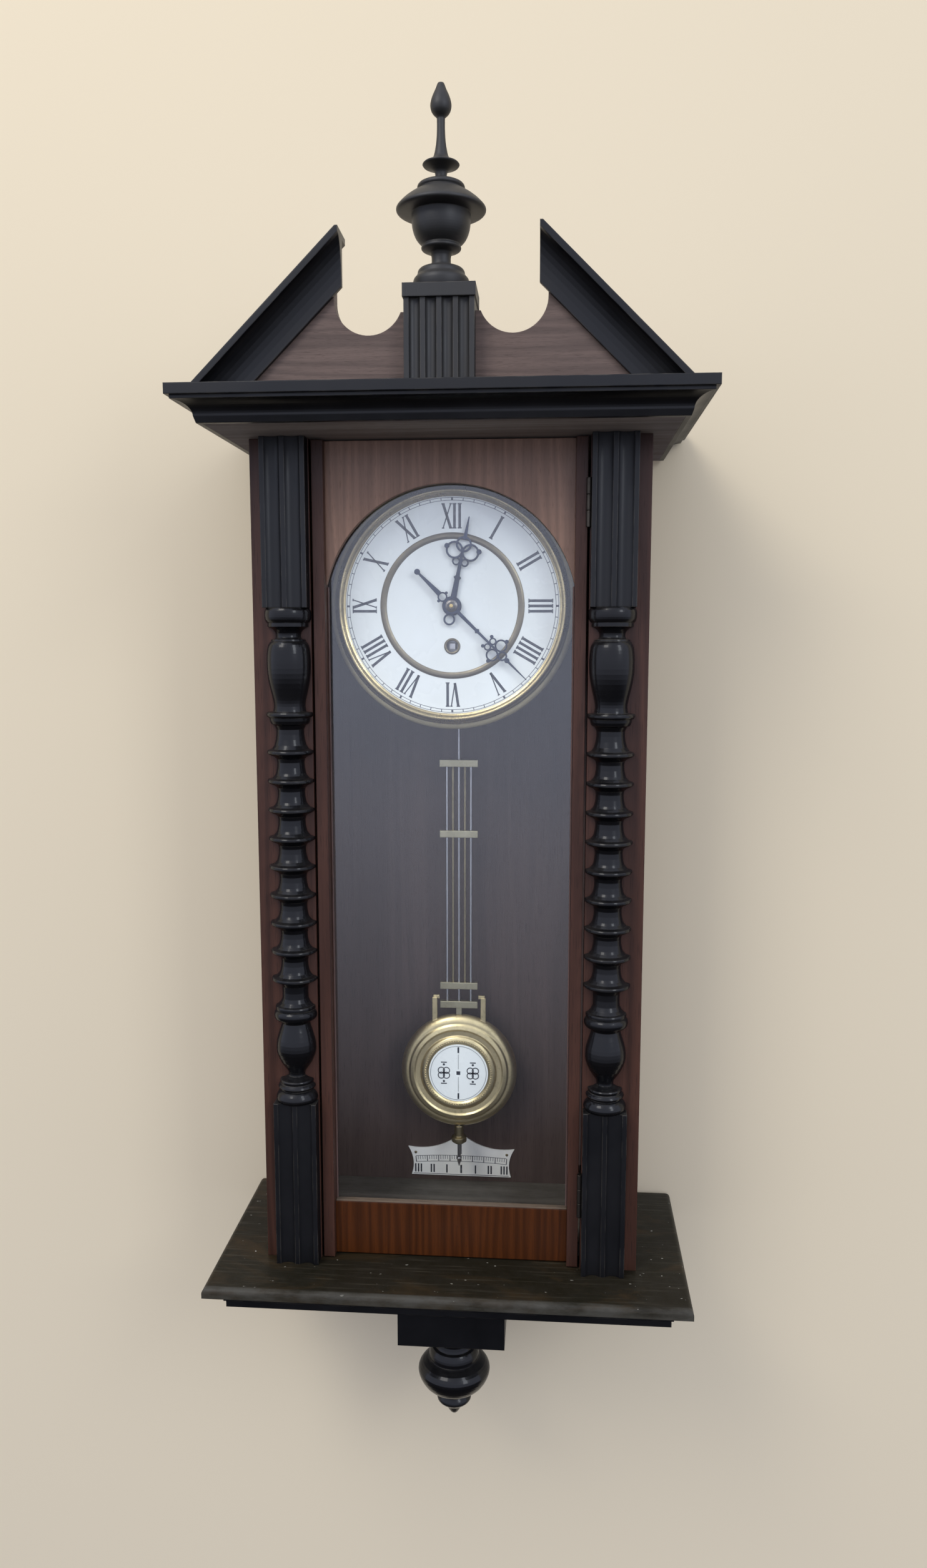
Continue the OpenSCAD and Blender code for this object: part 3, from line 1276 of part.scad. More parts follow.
back_board();
side_boards();
floor_board();
top_board();
front_stiles();
reeded_blocks();
turned_columns();
cornice_moulding();
crest_board();
rake_mouldings();
crest_plinth();
finial();
base_shelf();
base_moulding();
pendant_block();
pendant_drop();
hanger_plate();
screws();
hinge_leaves();
door_catch();
beat_scale();
movement_bracket();
front_plate();
back_plate();
pillars();
back_cock();
dial_plate();
dial_enamel();
dial_rings();
bezel();
door_stiles();
arch_panel();
bottom_rail();
glass();
hinge_door_leaves();
suspension_spring();
pendulum_hook();
steel_rods();
brass_rods();
crossbars();
bob_case();
bob_enamel();
rating_screw();
rating_nut();
anchor();
escape_wheel();
third_wheel();
intermediate_wheel();
centre_wheel();
barrel();
mainspring();
winding_arbor();
click();
cannon_pinion();
minute_wheel();
hour_wheel();
hour_hand();
minute_hand();
hand_nut();
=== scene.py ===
"""Finish and fine detail for a long wall clock: woods, metals, dial print, beat scale, studio."""

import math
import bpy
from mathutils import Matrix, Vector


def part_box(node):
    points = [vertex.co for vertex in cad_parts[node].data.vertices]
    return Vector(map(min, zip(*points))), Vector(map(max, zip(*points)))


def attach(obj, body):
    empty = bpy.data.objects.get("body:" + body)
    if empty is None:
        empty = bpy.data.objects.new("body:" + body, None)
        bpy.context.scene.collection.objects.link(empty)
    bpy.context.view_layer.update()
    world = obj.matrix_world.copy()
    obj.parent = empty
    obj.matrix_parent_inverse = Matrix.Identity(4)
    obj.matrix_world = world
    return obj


bl_info = {
    "name": "Wall clock finish",
    "version": (1, 0, 0),
    "blender": (4, 5, 0),
    "location": "3D View > Sidebar > Wall clock",
    "description": "Dresses the packed wall clock with its finishes, printed dial and small trim",
    "category": "Object",
}

import bmesh
import bpy
from mathutils import Matrix, Vector

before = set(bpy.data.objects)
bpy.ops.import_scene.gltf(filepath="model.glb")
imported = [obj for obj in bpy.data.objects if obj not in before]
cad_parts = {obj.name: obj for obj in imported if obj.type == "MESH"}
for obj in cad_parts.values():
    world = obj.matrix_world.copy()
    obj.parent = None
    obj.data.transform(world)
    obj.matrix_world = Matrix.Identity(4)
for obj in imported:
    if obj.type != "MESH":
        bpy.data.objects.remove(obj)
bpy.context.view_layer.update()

DIAL_LOW, DIAL_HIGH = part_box("dial_enamel")
DIAL = (DIAL_LOW + DIAL_HIGH) / 2
BEZEL_LOW, BEZEL_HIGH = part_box("bezel")
BOB_LOW, BOB_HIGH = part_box("bob_enamel")
BOB = (BOB_LOW + BOB_HIGH) / 2
BOB_FACE_RADIUS = (BOB_HIGH.x - BOB_LOW.x) / 2
SCALE_LOW, SCALE_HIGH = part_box("beat_scale")
RAIL_LOW, RAIL_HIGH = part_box("bottom_rail")
GLASS_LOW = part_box("glass")[0]


# Settings a user would change

class ClockDrawing(bpy.types.PropertyGroup):
    """Sizes of the print on the enamel and of the bezel's flange"""

    numeral_foot: bpy.props.FloatProperty(
        name="Numeral foot", description="Distance from the dial's centre to a numeral's foot",
        default=0.0603, unit="LENGTH")
    numeral_height: bpy.props.FloatProperty(
        name="Numeral height", description="Height of the hour numerals",
        default=0.0185, unit="LENGTH")
    thick_stroke: bpy.props.FloatProperty(
        name="Thick stroke", description="Width of a numeral's thick stroke",
        default=0.0021, unit="LENGTH")
    thin_stroke: bpy.props.FloatProperty(
        name="Thin stroke", description="Width of a numeral's hairline",
        default=0.0009, unit="LENGTH")
    print_height: bpy.props.FloatProperty(
        name="Print height", description="How far the print stands on the enamel",
        default=0.00006, unit="LENGTH")
    track_radius: bpy.props.FloatProperty(
        name="Minute track", description="Radius of the minute track's inner circle",
        default=0.0815, unit="LENGTH")
    flange_width: bpy.props.FloatProperty(
        name="Bezel flange", description="How far the bezel's low flange stands out round it",
        default=0.0046, unit="LENGTH")
    flange_height: bpy.props.FloatProperty(
        name="Flange height", description="Height of the bezel's flange over its foot",
        default=0.0036, unit="LENGTH")


class ClockColours(bpy.types.PropertyGroup):
    """Colours of the finishes, as linear values"""

    ebony: bpy.props.FloatVectorProperty(
        name="Ebonised wood", description="Black stain and polish on the mouldings",
        default=(0.0024, 0.0025, 0.003), subtype="COLOR", size=3)
    walnut: bpy.props.FloatVectorProperty(
        name="Walnut", description="Veneer of the arched panel",
        default=(0.235, 0.132, 0.085), subtype="COLOR", size=3)
    crest: bpy.props.FloatVectorProperty(
        name="Crest", description="Greyer veneer of the crest board",
        default=(0.112, 0.076, 0.06), subtype="COLOR", size=3)
    rail: bpy.props.FloatVectorProperty(
        name="Rail veneer", description="Redder veneer of the door's bottom rail",
        default=(0.068, 0.0185, 0.0036), subtype="COLOR", size=3)
    stile: bpy.props.FloatVectorProperty(
        name="Stained wood", description="Dark stain of the stiles and sides",
        default=(0.05, 0.0205, 0.0125), subtype="COLOR", size=3)
    bare: bpy.props.FloatVectorProperty(
        name="Bare wood", description="Unfinished wood under the cornice",
        default=(0.3, 0.25, 0.21), subtype="COLOR", size=3)
    gilt: bpy.props.FloatVectorProperty(
        name="Brass", description="Lacquered brass with age",
        default=(0.47, 0.375, 0.2), subtype="COLOR", size=3)
    # The bob's face is made paler than this white as painted light for the dim lower case.
    enamel: bpy.props.FloatVectorProperty(
        name="Enamel", description="White of the dial and, a little brighter, of the bob's face",
        default=(0.765, 0.795, 0.745), subtype="COLOR", size=3)
    ink: bpy.props.FloatVectorProperty(
        name="Ink", description="Print on the enamel",
        default=(0.02, 0.024, 0.034), subtype="COLOR", size=3)


class ClockStudio(bpy.types.PropertyGroup):
    """Camera, light and backdrop"""

    camera_place: bpy.props.FloatVectorProperty(
        name="Camera", description="Where the camera stands",
        default=(0.0792, -0.9932, -0.1194), subtype="TRANSLATION", size=3)
    camera_turn: bpy.props.FloatProperty(
        name="Turn", description="How far the camera turns to the left",
        default=math.radians(4.5), subtype="ANGLE")
    camera_dip: bpy.props.FloatProperty(
        name="Dip", description="How far the camera looks down",
        default=math.radians(7.43), subtype="ANGLE")
    lens: bpy.props.FloatProperty(
        name="Lens", description="Focal length on a sensor 36 mm tall",
        default=25.812, unit="CAMERA")
    wall_gap: bpy.props.FloatProperty(
        name="Wall gap", description="Distance from the case's back to the backdrop",
        default=0.004, unit="LENGTH")
    floor_height: bpy.props.FloatProperty(
        name="Floor", description="Height of the floor in the clock's frame",
        default=-1.5, unit="LENGTH")
    room_high: bpy.props.FloatVectorProperty(
        name="Upper room", description="Cool light that comes from above",
        default=(1.12, 1.2, 1.5), subtype="COLOR", size=3)
    room_low: bpy.props.FloatVectorProperty(
        name="Lower room", description="Dim light that comes from below",
        default=(0.05, 0.043, 0.04), subtype="COLOR", size=3)


# Mesh helpers

def new_piece(name, bm, material, body, smooth=False):
    """Stores a finished mesh as a piece that rides on a body."""
    bmesh.ops.recalc_face_normals(bm, faces=bm.faces)
    piece = stored(name, bm, material, smooth)
    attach(piece, body)


def stored(name, bm, material, smooth):
    """Makes an object at the origin from a mesh and its material."""
    mesh = bpy.data.meshes.new(name)
    bm.to_mesh(mesh)
    bm.free()
    for face in mesh.polygons:
        face.use_smooth = smooth
    mesh.materials.append(material)
    obj = bpy.data.objects.new(name, mesh)
    bpy.context.scene.collection.objects.link(obj)
    return obj


def bar(bm, start, end, width, front, depth):
    """A straight stroke from start to end, seen from the front, standing forward of front."""
    a, b = Vector(start), Vector(end)
    run = b - a
    angle = math.atan2(run.y, run.x)
    place = (Matrix.Translation(((a.x + b.x) / 2, front - depth / 2, (a.y + b.y) / 2))
             @ Matrix.Rotation(-angle, 4, "Y")
             @ Matrix.Diagonal((run.length, depth, width, 1)))
    bmesh.ops.create_cube(bm, size=1, matrix=place)


def spun(bm, section, centre, steps, angle=math.tau):
    """Turns a closed section about an axis that runs front to back; a full turn is merged."""
    verts = [bm.verts.new(p) for p in section]
    edges = [bm.edges.new(pair) for pair in zip(verts, verts[1:] + verts[:1])]
    bmesh.ops.spin(bm, geom=verts + edges, cent=centre, axis=(0, -1, 0), dvec=(0, 0, 0),
                   angle=angle, steps=steps, use_merge=angle >= math.tau, use_normal_flip=False,
                   use_duplicate=False)


def circle_line(bm, centre, radius, width, front, depth, steps, start=0.0, angle=math.tau):
    """A flat printed circle, or an arc that begins at start."""
    hub = Vector((centre.x, 0, centre.z))
    way = Vector((math.cos(start), 0, math.sin(start)))
    inner, outer = radius - width / 2, radius + width / 2
    corners = ((inner, front), (outer, front), (outer, front - depth), (inner, front - depth))
    section = [hub + way * r + Vector((0, y, 0)) for r, y in corners]
    spun(bm, section, hub, steps, angle)


def dot(bm, x, z, radius, front, depth):
    """A small round spot of print."""
    place = Matrix.Translation((x, front - depth / 2, z)) @ Matrix.Rotation(math.pi / 2, 4, "X")
    bmesh.ops.create_cone(bm, cap_ends=True, segments=16, radius1=radius, radius2=radius,
                          depth=depth, matrix=place)


# Node helpers

def feed(tree, socket, value):
    """Links a socket to another one, or sets it to a number, a vector or a colour."""
    if isinstance(value, bpy.types.NodeSocket):
        tree.links.new(value, socket)
    elif socket.type == "RGBA":
        socket.default_value = (*value, 1)
    else:
        socket.default_value = value


def feed_all(tree, node, **values):
    """Feeds a node's sockets by name, where an underscore stands for a space."""
    for key, value in values.items():
        feed(tree, node.inputs[key.replace("_", " ")], value)
    return node


def build_group(name, inputs, outputs):
    """An empty shader group with named sockets."""
    group = bpy.data.node_groups.new(name, "ShaderNodeTree")
    for label, kind, value in inputs:
        socket = group.interface.new_socket(label, in_out="INPUT", socket_type=kind)
        if value is not None:
            socket.default_value = value
    for label, kind in outputs:
        group.interface.new_socket(label, in_out="OUTPUT", socket_type=kind)
    return group, group.nodes.new("NodeGroupInput"), group.nodes.new("NodeGroupOutput")


def use_group(tree, group, vector, **values):
    """Places a shader group with its own values."""
    node = tree.nodes.new("ShaderNodeGroup")
    node.node_tree = group
    return feed_all(tree, node, Vector=vector, **values)


def math_node(tree, operation, *values, clamp=False):
    """A sum of numbers and sockets."""
    node = tree.nodes.new("ShaderNodeMath")
    node.operation = operation
    node.use_clamp = clamp
    for socket, value in zip(node.inputs, values):
        feed(tree, socket, value)
    return node.outputs[0]


def times(tree, a, b):
    """The product of two values."""
    return math_node(tree, "MULTIPLY", a, b)


def vector_node(tree, operation, *vectors, scale=None):
    """A sum of vectors; a dot product or a length comes out as a value."""
    node = tree.nodes.new("ShaderNodeVectorMath")
    node.operation = operation
    for socket, value in zip(node.inputs, vectors):
        feed(tree, socket, value)
    if scale is not None:
        feed(tree, node.inputs["Scale"], scale)
    return node.outputs["Value" if operation in ("DOT_PRODUCT", "LENGTH") else "Vector"]


def remap(tree, value, low, high, to_low=0.0, to_high=1.0):
    """Spreads a value from between low and high to between to_low and to_high."""
    node = tree.nodes.new("ShaderNodeMapRange")
    feed_all(tree, node, Value=value, From_Min=low, From_Max=high, To_Min=to_low, To_Max=to_high)
    return node.outputs["Result"]


def blend_colour(tree, share, a, b):
    """Colour a, turning into b as the share goes from 0 to 1."""
    node = tree.nodes.new("ShaderNodeMix")
    node.data_type = "RGBA"
    for socket, value in zip((node.inputs[0], node.inputs[6], node.inputs[7]), (share, a, b)):
        feed(tree, socket, value)
    return node.outputs[2]


def noise(tree, vector, scale, detail=3.0, rough=0.55, distortion=0.0):
    """Cloudy noise as one value."""
    node = tree.nodes.new("ShaderNodeTexNoise")
    feed_all(tree, node, Vector=vector, Scale=scale, Detail=detail, Roughness=rough,
             Distortion=distortion)
    return node.outputs["Fac"]


def squeezed(tree, vector, squeeze, shift=(0, 0, 0), turn=(0, 0, 0)):
    """Coordinates shifted, turned and squeezed, so that a pattern on them turns finer."""
    node = tree.nodes.new("ShaderNodeMapping")
    feed_all(tree, node, Vector=vector, Location=shift, Rotation=turn, Scale=squeeze)
    return node.outputs["Vector"]


def bump(tree, height, strength, distance, normal=None):
    """A normal that follows a height, laid over another normal where one is given."""
    node = feed_all(tree, tree.nodes.new("ShaderNodeBump"), Height=height, Strength=strength,
                    Distance=distance)
    if normal is not None:
        feed(tree, node.inputs["Normal"], normal)
    return node.outputs["Normal"]


def choose_shader(tree, share, first, second):
    """Shows the second shader where the share is 1, and the first elsewhere."""
    mix = tree.nodes.new("ShaderNodeMixShader")
    for socket, value in zip(mix.inputs, (share, first, second)):
        feed(tree, socket, value)
    feed(tree, tree.nodes["Material Output"].inputs["Surface"], mix.outputs[0])


def shade(colour, factor):
    """A colour made darker or paler, and no paler than white."""
    return tuple(min(1, c * factor) for c in colour)


# Shader groups

FIGURE_SQUEEZE = (22, 22, 1.6)
STREAK_SQUEEZE = (260, 260, 5)
PORE_SQUEEZE = (1500, 1500, 60)
WARP_REACH = (3, 3, 0)
WARP_SHARE = 0.45
GRAIN_DEPTH = 0.0003
EDGE_ROUNDING = 0.001


def wood_figure():
    """Grain along the vector's Z: broad figure, fine streaks and open pores."""
    if "Wood figure" in bpy.data.node_groups:
        return bpy.data.node_groups["Wood figure"]
    group, given, out = build_group(
        "Wood figure",
        [("Vector", "NodeSocketVector", None), ("Figure scale", "NodeSocketFloat", 1.0),
         ("Waviness", "NodeSocketFloat", 1.0)],
        [("Figure", "NodeSocketFloat"), ("Streaks", "NodeSocketFloat"),
         ("Pores", "NodeSocketFloat")])
    board = vector_node(group, "SCALE", given.outputs["Vector"],
                        scale=given.outputs["Figure scale"])
    broad = squeezed(group, board, FIGURE_SQUEEZE)
    warp = noise(group, broad, 1.0, 2.0, 0.5)
    sideways = feed_all(group, group.nodes.new("ShaderNodeCombineXYZ"), X=warp, Y=warp)
    push = vector_node(group, "SCALE", sideways.outputs[0], scale=given.outputs["Waviness"])
    wave = group.nodes.new("ShaderNodeTexWave")
    wave.wave_type = "BANDS"
    wave.bands_direction = "X"
    feed_all(group, wave, Vector=vector_node(group, "MULTIPLY_ADD", push, WARP_REACH, broad),
             Scale=0.55, Distortion=7.0, Detail=3.0, Detail_Scale=1.2)
    figure = math_node(group, "ADD", times(group, wave.outputs["Fac"], 1 - WARP_SHARE),
                       times(group, warp, WARP_SHARE), clamp=True)
    streaks = noise(group, squeezed(group, board, STREAK_SQUEEZE), 1.0, 5.0, 0.65)
    pits = noise(group, squeezed(group, board, PORE_SQUEEZE), 1.0, 1.0, 0.4)
    pores = remap(group, pits, 0.6, 0.72)
    feed_all(group, out, Figure=figure, Streaks=streaks, Pores=pores)
    return group


def edge_wear():
    """Where a sharp edge is rubbed, and a normal that rounds it."""
    if "Edge wear" in bpy.data.node_groups:
        return bpy.data.node_groups["Edge wear"]
    group, given, out = build_group(
        "Edge wear",
        [("Vector", "NodeSocketVector", None), ("Patchiness", "NodeSocketFloat", 60.0),
         ("Amount", "NodeSocketFloat", 0.5)],
        [("Mask", "NodeSocketFloat"), ("Normal", "NodeSocketVector")])
    rounded = group.nodes.new("ShaderNodeBevel")
    rounded.samples = 4
    rounded.inputs["Radius"].default_value = EDGE_ROUNDING
    shape = group.nodes.new("ShaderNodeNewGeometry")
    alike = vector_node(group, "DOT_PRODUCT", rounded.outputs["Normal"], shape.outputs["Normal"])
    edge = remap(group, alike, 0.985, 0.8)
    patches = noise(group, given.outputs["Vector"], given.outputs["Patchiness"], 5.0, 0.5)
    rubbed = math_node(group, "MULTIPLY", edge, remap(group, patches, 0.42, 0.6), clamp=True)
    feed_all(group, out, Mask=times(group, rubbed, given.outputs["Amount"]),
             Normal=rounded.outputs["Normal"])
    return group


def dust_and_smears():
    """Soft cloudy handling marks and settled dust on faces that look up."""
    if "Dust and smears" in bpy.data.node_groups:
        return bpy.data.node_groups["Dust and smears"]
    group, given, out = build_group(
        "Dust and smears", [("Vector", "NodeSocketVector", None), ("Dust", "NodeSocketFloat", 0.5)],
        [("Smears", "NodeSocketFloat"), ("Dust", "NodeSocketFloat")])
    place = given.outputs["Vector"]
    smears = remap(group, noise(group, place, 14.0, 4.0, 0.6), 0.35, 0.7)
    shape = group.nodes.new("ShaderNodeNewGeometry")
    parts = group.nodes.new("ShaderNodeSeparateXYZ")
    feed(group, parts.inputs[0], shape.outputs["Normal"])
    upward = remap(group, parts.outputs["Z"], 0.35, 1.0)
    speckle = remap(group, noise(group, place, 90.0, 6.0, 0.7), 0.35, 0.75)
    dust = math_node(group, "MULTIPLY", times(group, upward, speckle), given.outputs["Dust"],
                     clamp=True)
    feed_all(group, out, Smears=smears, Dust=dust)
    return group


# Finishes

def new_material(name):
    """A material with its Principled shader and Object coordinates."""
    material = bpy.data.materials.new(name)
    material.use_nodes = True
    tree = material.node_tree
    place = tree.nodes.new("ShaderNodeTexCoord").outputs["Object"]
    return material, tree, tree.nodes["Principled BSDF"], place


def veneer(name, colour, dark, light, turn, rough, coat, wave=1.0, scale=1.0, worn=0.5, gloss=0.35):
    """Polished veneer; dark and light bound its tones, and turn lays the grain along the board."""
    streak_share, pore_share, dust_share, dust = 0.55, 0.5, 0.35, 0.25
    streak_dark, pore_dark, rubbed_light, dust_grey = 0.75, 0.35, 2.1, (0.32, 0.29, 0.26)
    smear_rough, pore_rough = 0.14, 0.12
    material, tree, shader, place = new_material(name)
    figure = use_group(tree, wood_figure(), squeezed(tree, place, (1, 1, 1), turn=turn),
                       Figure_scale=scale, Waviness=wave)
    wear = use_group(tree, edge_wear(), place, Amount=worn)
    marks = use_group(tree, dust_and_smears(), place, Dust=dust)
    streaks, pores = figure.outputs["Streaks"], figure.outputs["Pores"]
    base = blend_colour(tree, figure.outputs["Figure"], shade(colour, dark), shade(colour, light))
    streaked = blend_colour(tree, remap(tree, streaks, 0.35, 0.68), base,
                            shade(colour, dark * streak_dark))
    toned = blend_colour(tree, times(tree, remap(tree, streaks, 0.3, 0.75), streak_share),
                         base, streaked)
    pored = blend_colour(tree, times(tree, pores, pore_share), toned, shade(colour, pore_dark))
    rubbed = blend_colour(tree, wear.outputs["Mask"], pored, shade(colour, rubbed_light))
    dusty = blend_colour(tree, times(tree, marks.outputs["Dust"], dust_share), rubbed, dust_grey)
    roughness = math_node(
        tree, "ADD", remap(tree, marks.outputs["Smears"], 0, 1, rough, rough + smear_rough),
        times(tree, pores, pore_rough))
    height = math_node(tree, "SUBTRACT", times(tree, streaks, 0.4), pores)
    feed_all(tree, shader, Base_Color=dusty, Roughness=roughness, Specular_IOR_Level=gloss,
             Coat_Weight=coat, Coat_Roughness=0.18,
             Normal=bump(tree, height, 0.16, GRAIN_DEPTH, wear.outputs["Normal"]))
    return material


def ebonised(name, colour, rough, brown, gloss, coat=0.0, dust=0.3, lip=None):
    """Black stained and polished wood, rubbed at its edges; lip is where a front begins that is worn
    and carries a painted highlight.
    """
    streak_share, streak_light, edge_rubbing = 0.35, 2.2, 0.8
    smear_rough, dust_rough = 0.16, 0.35
    thin_stain, bare_edge, dust_grey = (0.03, 0.02, 0.012), (0.1, 0.088, 0.066), (0.1, 0.094, 0.08)
    material, tree, shader, place = new_material(name)
    figure = use_group(tree, wood_figure(), place, Figure_scale=1.0, Waviness=0.7)
    wear = use_group(tree, edge_wear(), place, Amount=edge_rubbing)
    marks = use_group(tree, dust_and_smears(), place, Dust=dust)
    streaks, pores = figure.outputs["Streaks"], figure.outputs["Pores"]
    soft = blend_colour(tree, times(tree, streaks, streak_share), colour,
                        shade(colour, streak_light))
    thin = blend_colour(tree, times(tree, marks.outputs["Smears"], brown), soft, thin_stain)
    rubbed = blend_colour(tree, wear.outputs["Mask"], thin, bare_edge)
    dusty = blend_colour(tree, marks.outputs["Dust"], rubbed, dust_grey)
    if lip is not None:
        dusty = worn_board_with_lip_highlight(tree, place, dusty, lip)
    roughness = math_node(
        tree, "ADD", remap(tree, marks.outputs["Smears"], 0, 1, rough, rough + smear_rough),
        times(tree, marks.outputs["Dust"], dust_rough))
    height = math_node(tree, "SUBTRACT", times(tree, streaks, 0.5), times(tree, pores, 0.5))
    feed_all(tree, shader, Base_Color=dusty, Roughness=roughness, Specular_IOR_Level=gloss,
             Coat_Weight=coat, Coat_Roughness=0.06,
             Normal=bump(tree, height, 0.12, GRAIN_DEPTH, wear.outputs["Normal"]))
    return material


def worn_board_with_lip_highlight(tree, place, base, lip):
    """Brown rubbed patches, pale chips and a front lip greyed partly by wear and partly by a painted
    highlight on its rounded edge, on a board that lies flat.
    """
    patch_share, streak_share, lip_width = 0.75, 0.35, 0.002
    brown, streak = (0.036, 0.022, 0.009), (0.07, 0.06, 0.04)
    chip, grey = (0.26, 0.24, 0.19), (0.05, 0.046, 0.036)

    def marks(squeeze, detail, rough, low, high, distortion=0.0, least=0.0):
        cloud = noise(tree, squeezed(tree, place, squeeze), 1.0, detail, rough, distortion)
        return remap(tree, cloud, low, high, least)

    patches = marks((9, 26, 26), 6.0, 0.68, 0.5, 0.66, distortion=0.6)
    browned = blend_colour(tree, times(tree, patches, patch_share), base, brown)
    streaks = marks((18, 420, 420), 4.0, 0.6, 0.55, 0.7)
    streaked = blend_colour(tree, times(tree, streaks, streak_share), browned, streak)
    chipped = blend_colour(tree, marks((170, 330, 330), 2.0, 0.5, 0.735, 0.76), streaked, chip)
    # Painted highlight: the grey band along the front lip stands partly for wear and partly for the
    # light caught by the rounded front edge.
    parts = tree.nodes.new("ShaderNodeSeparateXYZ")
    feed(tree, parts.inputs[0], place)
    front = remap(tree, parts.outputs["Y"], lip, lip - lip_width)
    rubbed = marks((22, 60, 60), 5.0, 0.65, 0.35, 0.6, least=0.1)
    return blend_colour(tree, times(tree, front, rubbed), chipped, grey)


def metal(name, colour, tarnish, rough, tarnished, rings=None, brushed=(400, 400, 400), spots=45.0,
          metallic=1.0):
    """Metal with patchy tarnish, and lathe marks about rings or else marks squeezed by brushed."""
    patch_share, speck_share, speck_scale, tarnish_rough = 0.7, 0.35, 14, 0.28
    lathe_scale, lathe_depth, brush_depth = 2600, 0.0001, 0.0002
    material, tree, shader, place = new_material(name)
    patches = remap(tree, noise(tree, place, spots, 5.0, 0.62, 0.4), 0.38, 0.68)
    specks = remap(tree, noise(tree, place, spots * speck_scale, 3.0, 0.5), 0.55, 0.75)
    both = math_node(tree, "ADD", times(tree, patches, patch_share),
                     times(tree, specks, speck_share))
    amount = math_node(tree, "MULTIPLY", both, tarnished, clamp=True)
    rounded = use_group(tree, edge_wear(), place, Amount=0.0).outputs["Normal"]
    if rings is not None:
        centred = squeezed(tree, place, (1, 0, 1), shift=(-rings.x, 0, -rings.z))
        lathe = tree.nodes.new("ShaderNodeTexNoise")
        lathe.noise_dimensions = "1D"
        feed_all(tree, lathe, W=vector_node(tree, "LENGTH", centred), Scale=lathe_scale, Detail=2)
        normal = bump(tree, lathe.outputs["Fac"], 0.05, lathe_depth, rounded)
    else:
        marks = noise(tree, squeezed(tree, place, brushed), 1.0, 2.0)
        normal = bump(tree, marks, 0.07, brush_depth, rounded)
    feed_all(tree, shader, Base_Color=blend_colour(tree, amount, colour, tarnish),
             Metallic=metallic, Normal=normal,
             Roughness=remap(tree, amount, 0, 1, rough, rough + tarnish_rough))
    return material


def enamelled(name, colour, stain=0.25):
    """Glossy white enamel with a faint uneven tone and tiny pits."""
    pit_share, pit, stained = 0.3, (0.25, 0.22, 0.18), (0.82, 0.8, 0.74)
    material, tree, shader, place = new_material(name)
    tone = remap(tree, noise(tree, place, 26.0, 4.0, 0.6, 0.3), 0.35, 0.7)
    pits = remap(tree, noise(tree, place, 900.0, 2.0, 0.5), 0.7, 0.78)
    base = blend_colour(tree, times(tree, tone, stain), colour,
                        tuple(c * s for c, s in zip(colour, stained)))
    feed_all(tree, shader, Base_Color=blend_colour(tree, times(tree, pits, pit_share), base, pit),
             Roughness=remap(tree, tone, 0, 1, 0.22, 0.34), Coat_Weight=0.35, Coat_Roughness=0.12,
             Normal=bump(tree, noise(tree, place, 60.0, 2.0), 0.05, 0.0004))
    return material


def ink_print(name, colour):
    """Fired print: dark, a little worn through."""
    worn_share, worn = 0.5, (0.2, 0.2, 0.21)
    material, tree, shader, place = new_material(name)
    thin = remap(tree, noise(tree, place, 240.0, 4.0, 0.6), 0.5, 0.8)
    base = blend_colour(tree, times(tree, thin, worn_share), colour, worn)
    feed_all(tree, shader, Base_Color=base, Roughness=remap(tree, thin, 0, 1, 0.3, 0.5))
    return material


def clear_glass(name):
    """Thin clear pane; shadow rays and soft bounced light pass straight through."""
    clear, filmed = (0.97, 0.985, 0.98), (0.9, 0.91, 0.9)
    material, tree, shader, place = new_material(name)
    film = remap(tree, noise(tree, squeezed(tree, place, (7, 7, 3)), 1.0, 4.0, 0.6), 0.45, 0.75)
    ripple = noise(tree, squeezed(tree, place, (5, 5, 2)), 1.0, 1.0)
    feed_all(tree, shader, Base_Color=blend_colour(tree, film, clear, filmed), Metallic=0.0,
             Transmission_Weight=1.0, IOR=1.56, Roughness=0.0,
             Normal=bump(tree, ripple, 0.03, 0.001))
    path = tree.nodes.new("ShaderNodeLightPath")
    unseen = math_node(tree, "ADD", path.outputs["Is Shadow Ray"], path.outputs["Is Diffuse Ray"],
                       clamp=True)
    through = tree.nodes.new("ShaderNodeBsdfTransparent")
    choose_shader(tree, unseen, shader.outputs[0], through.outputs[0])
    return material


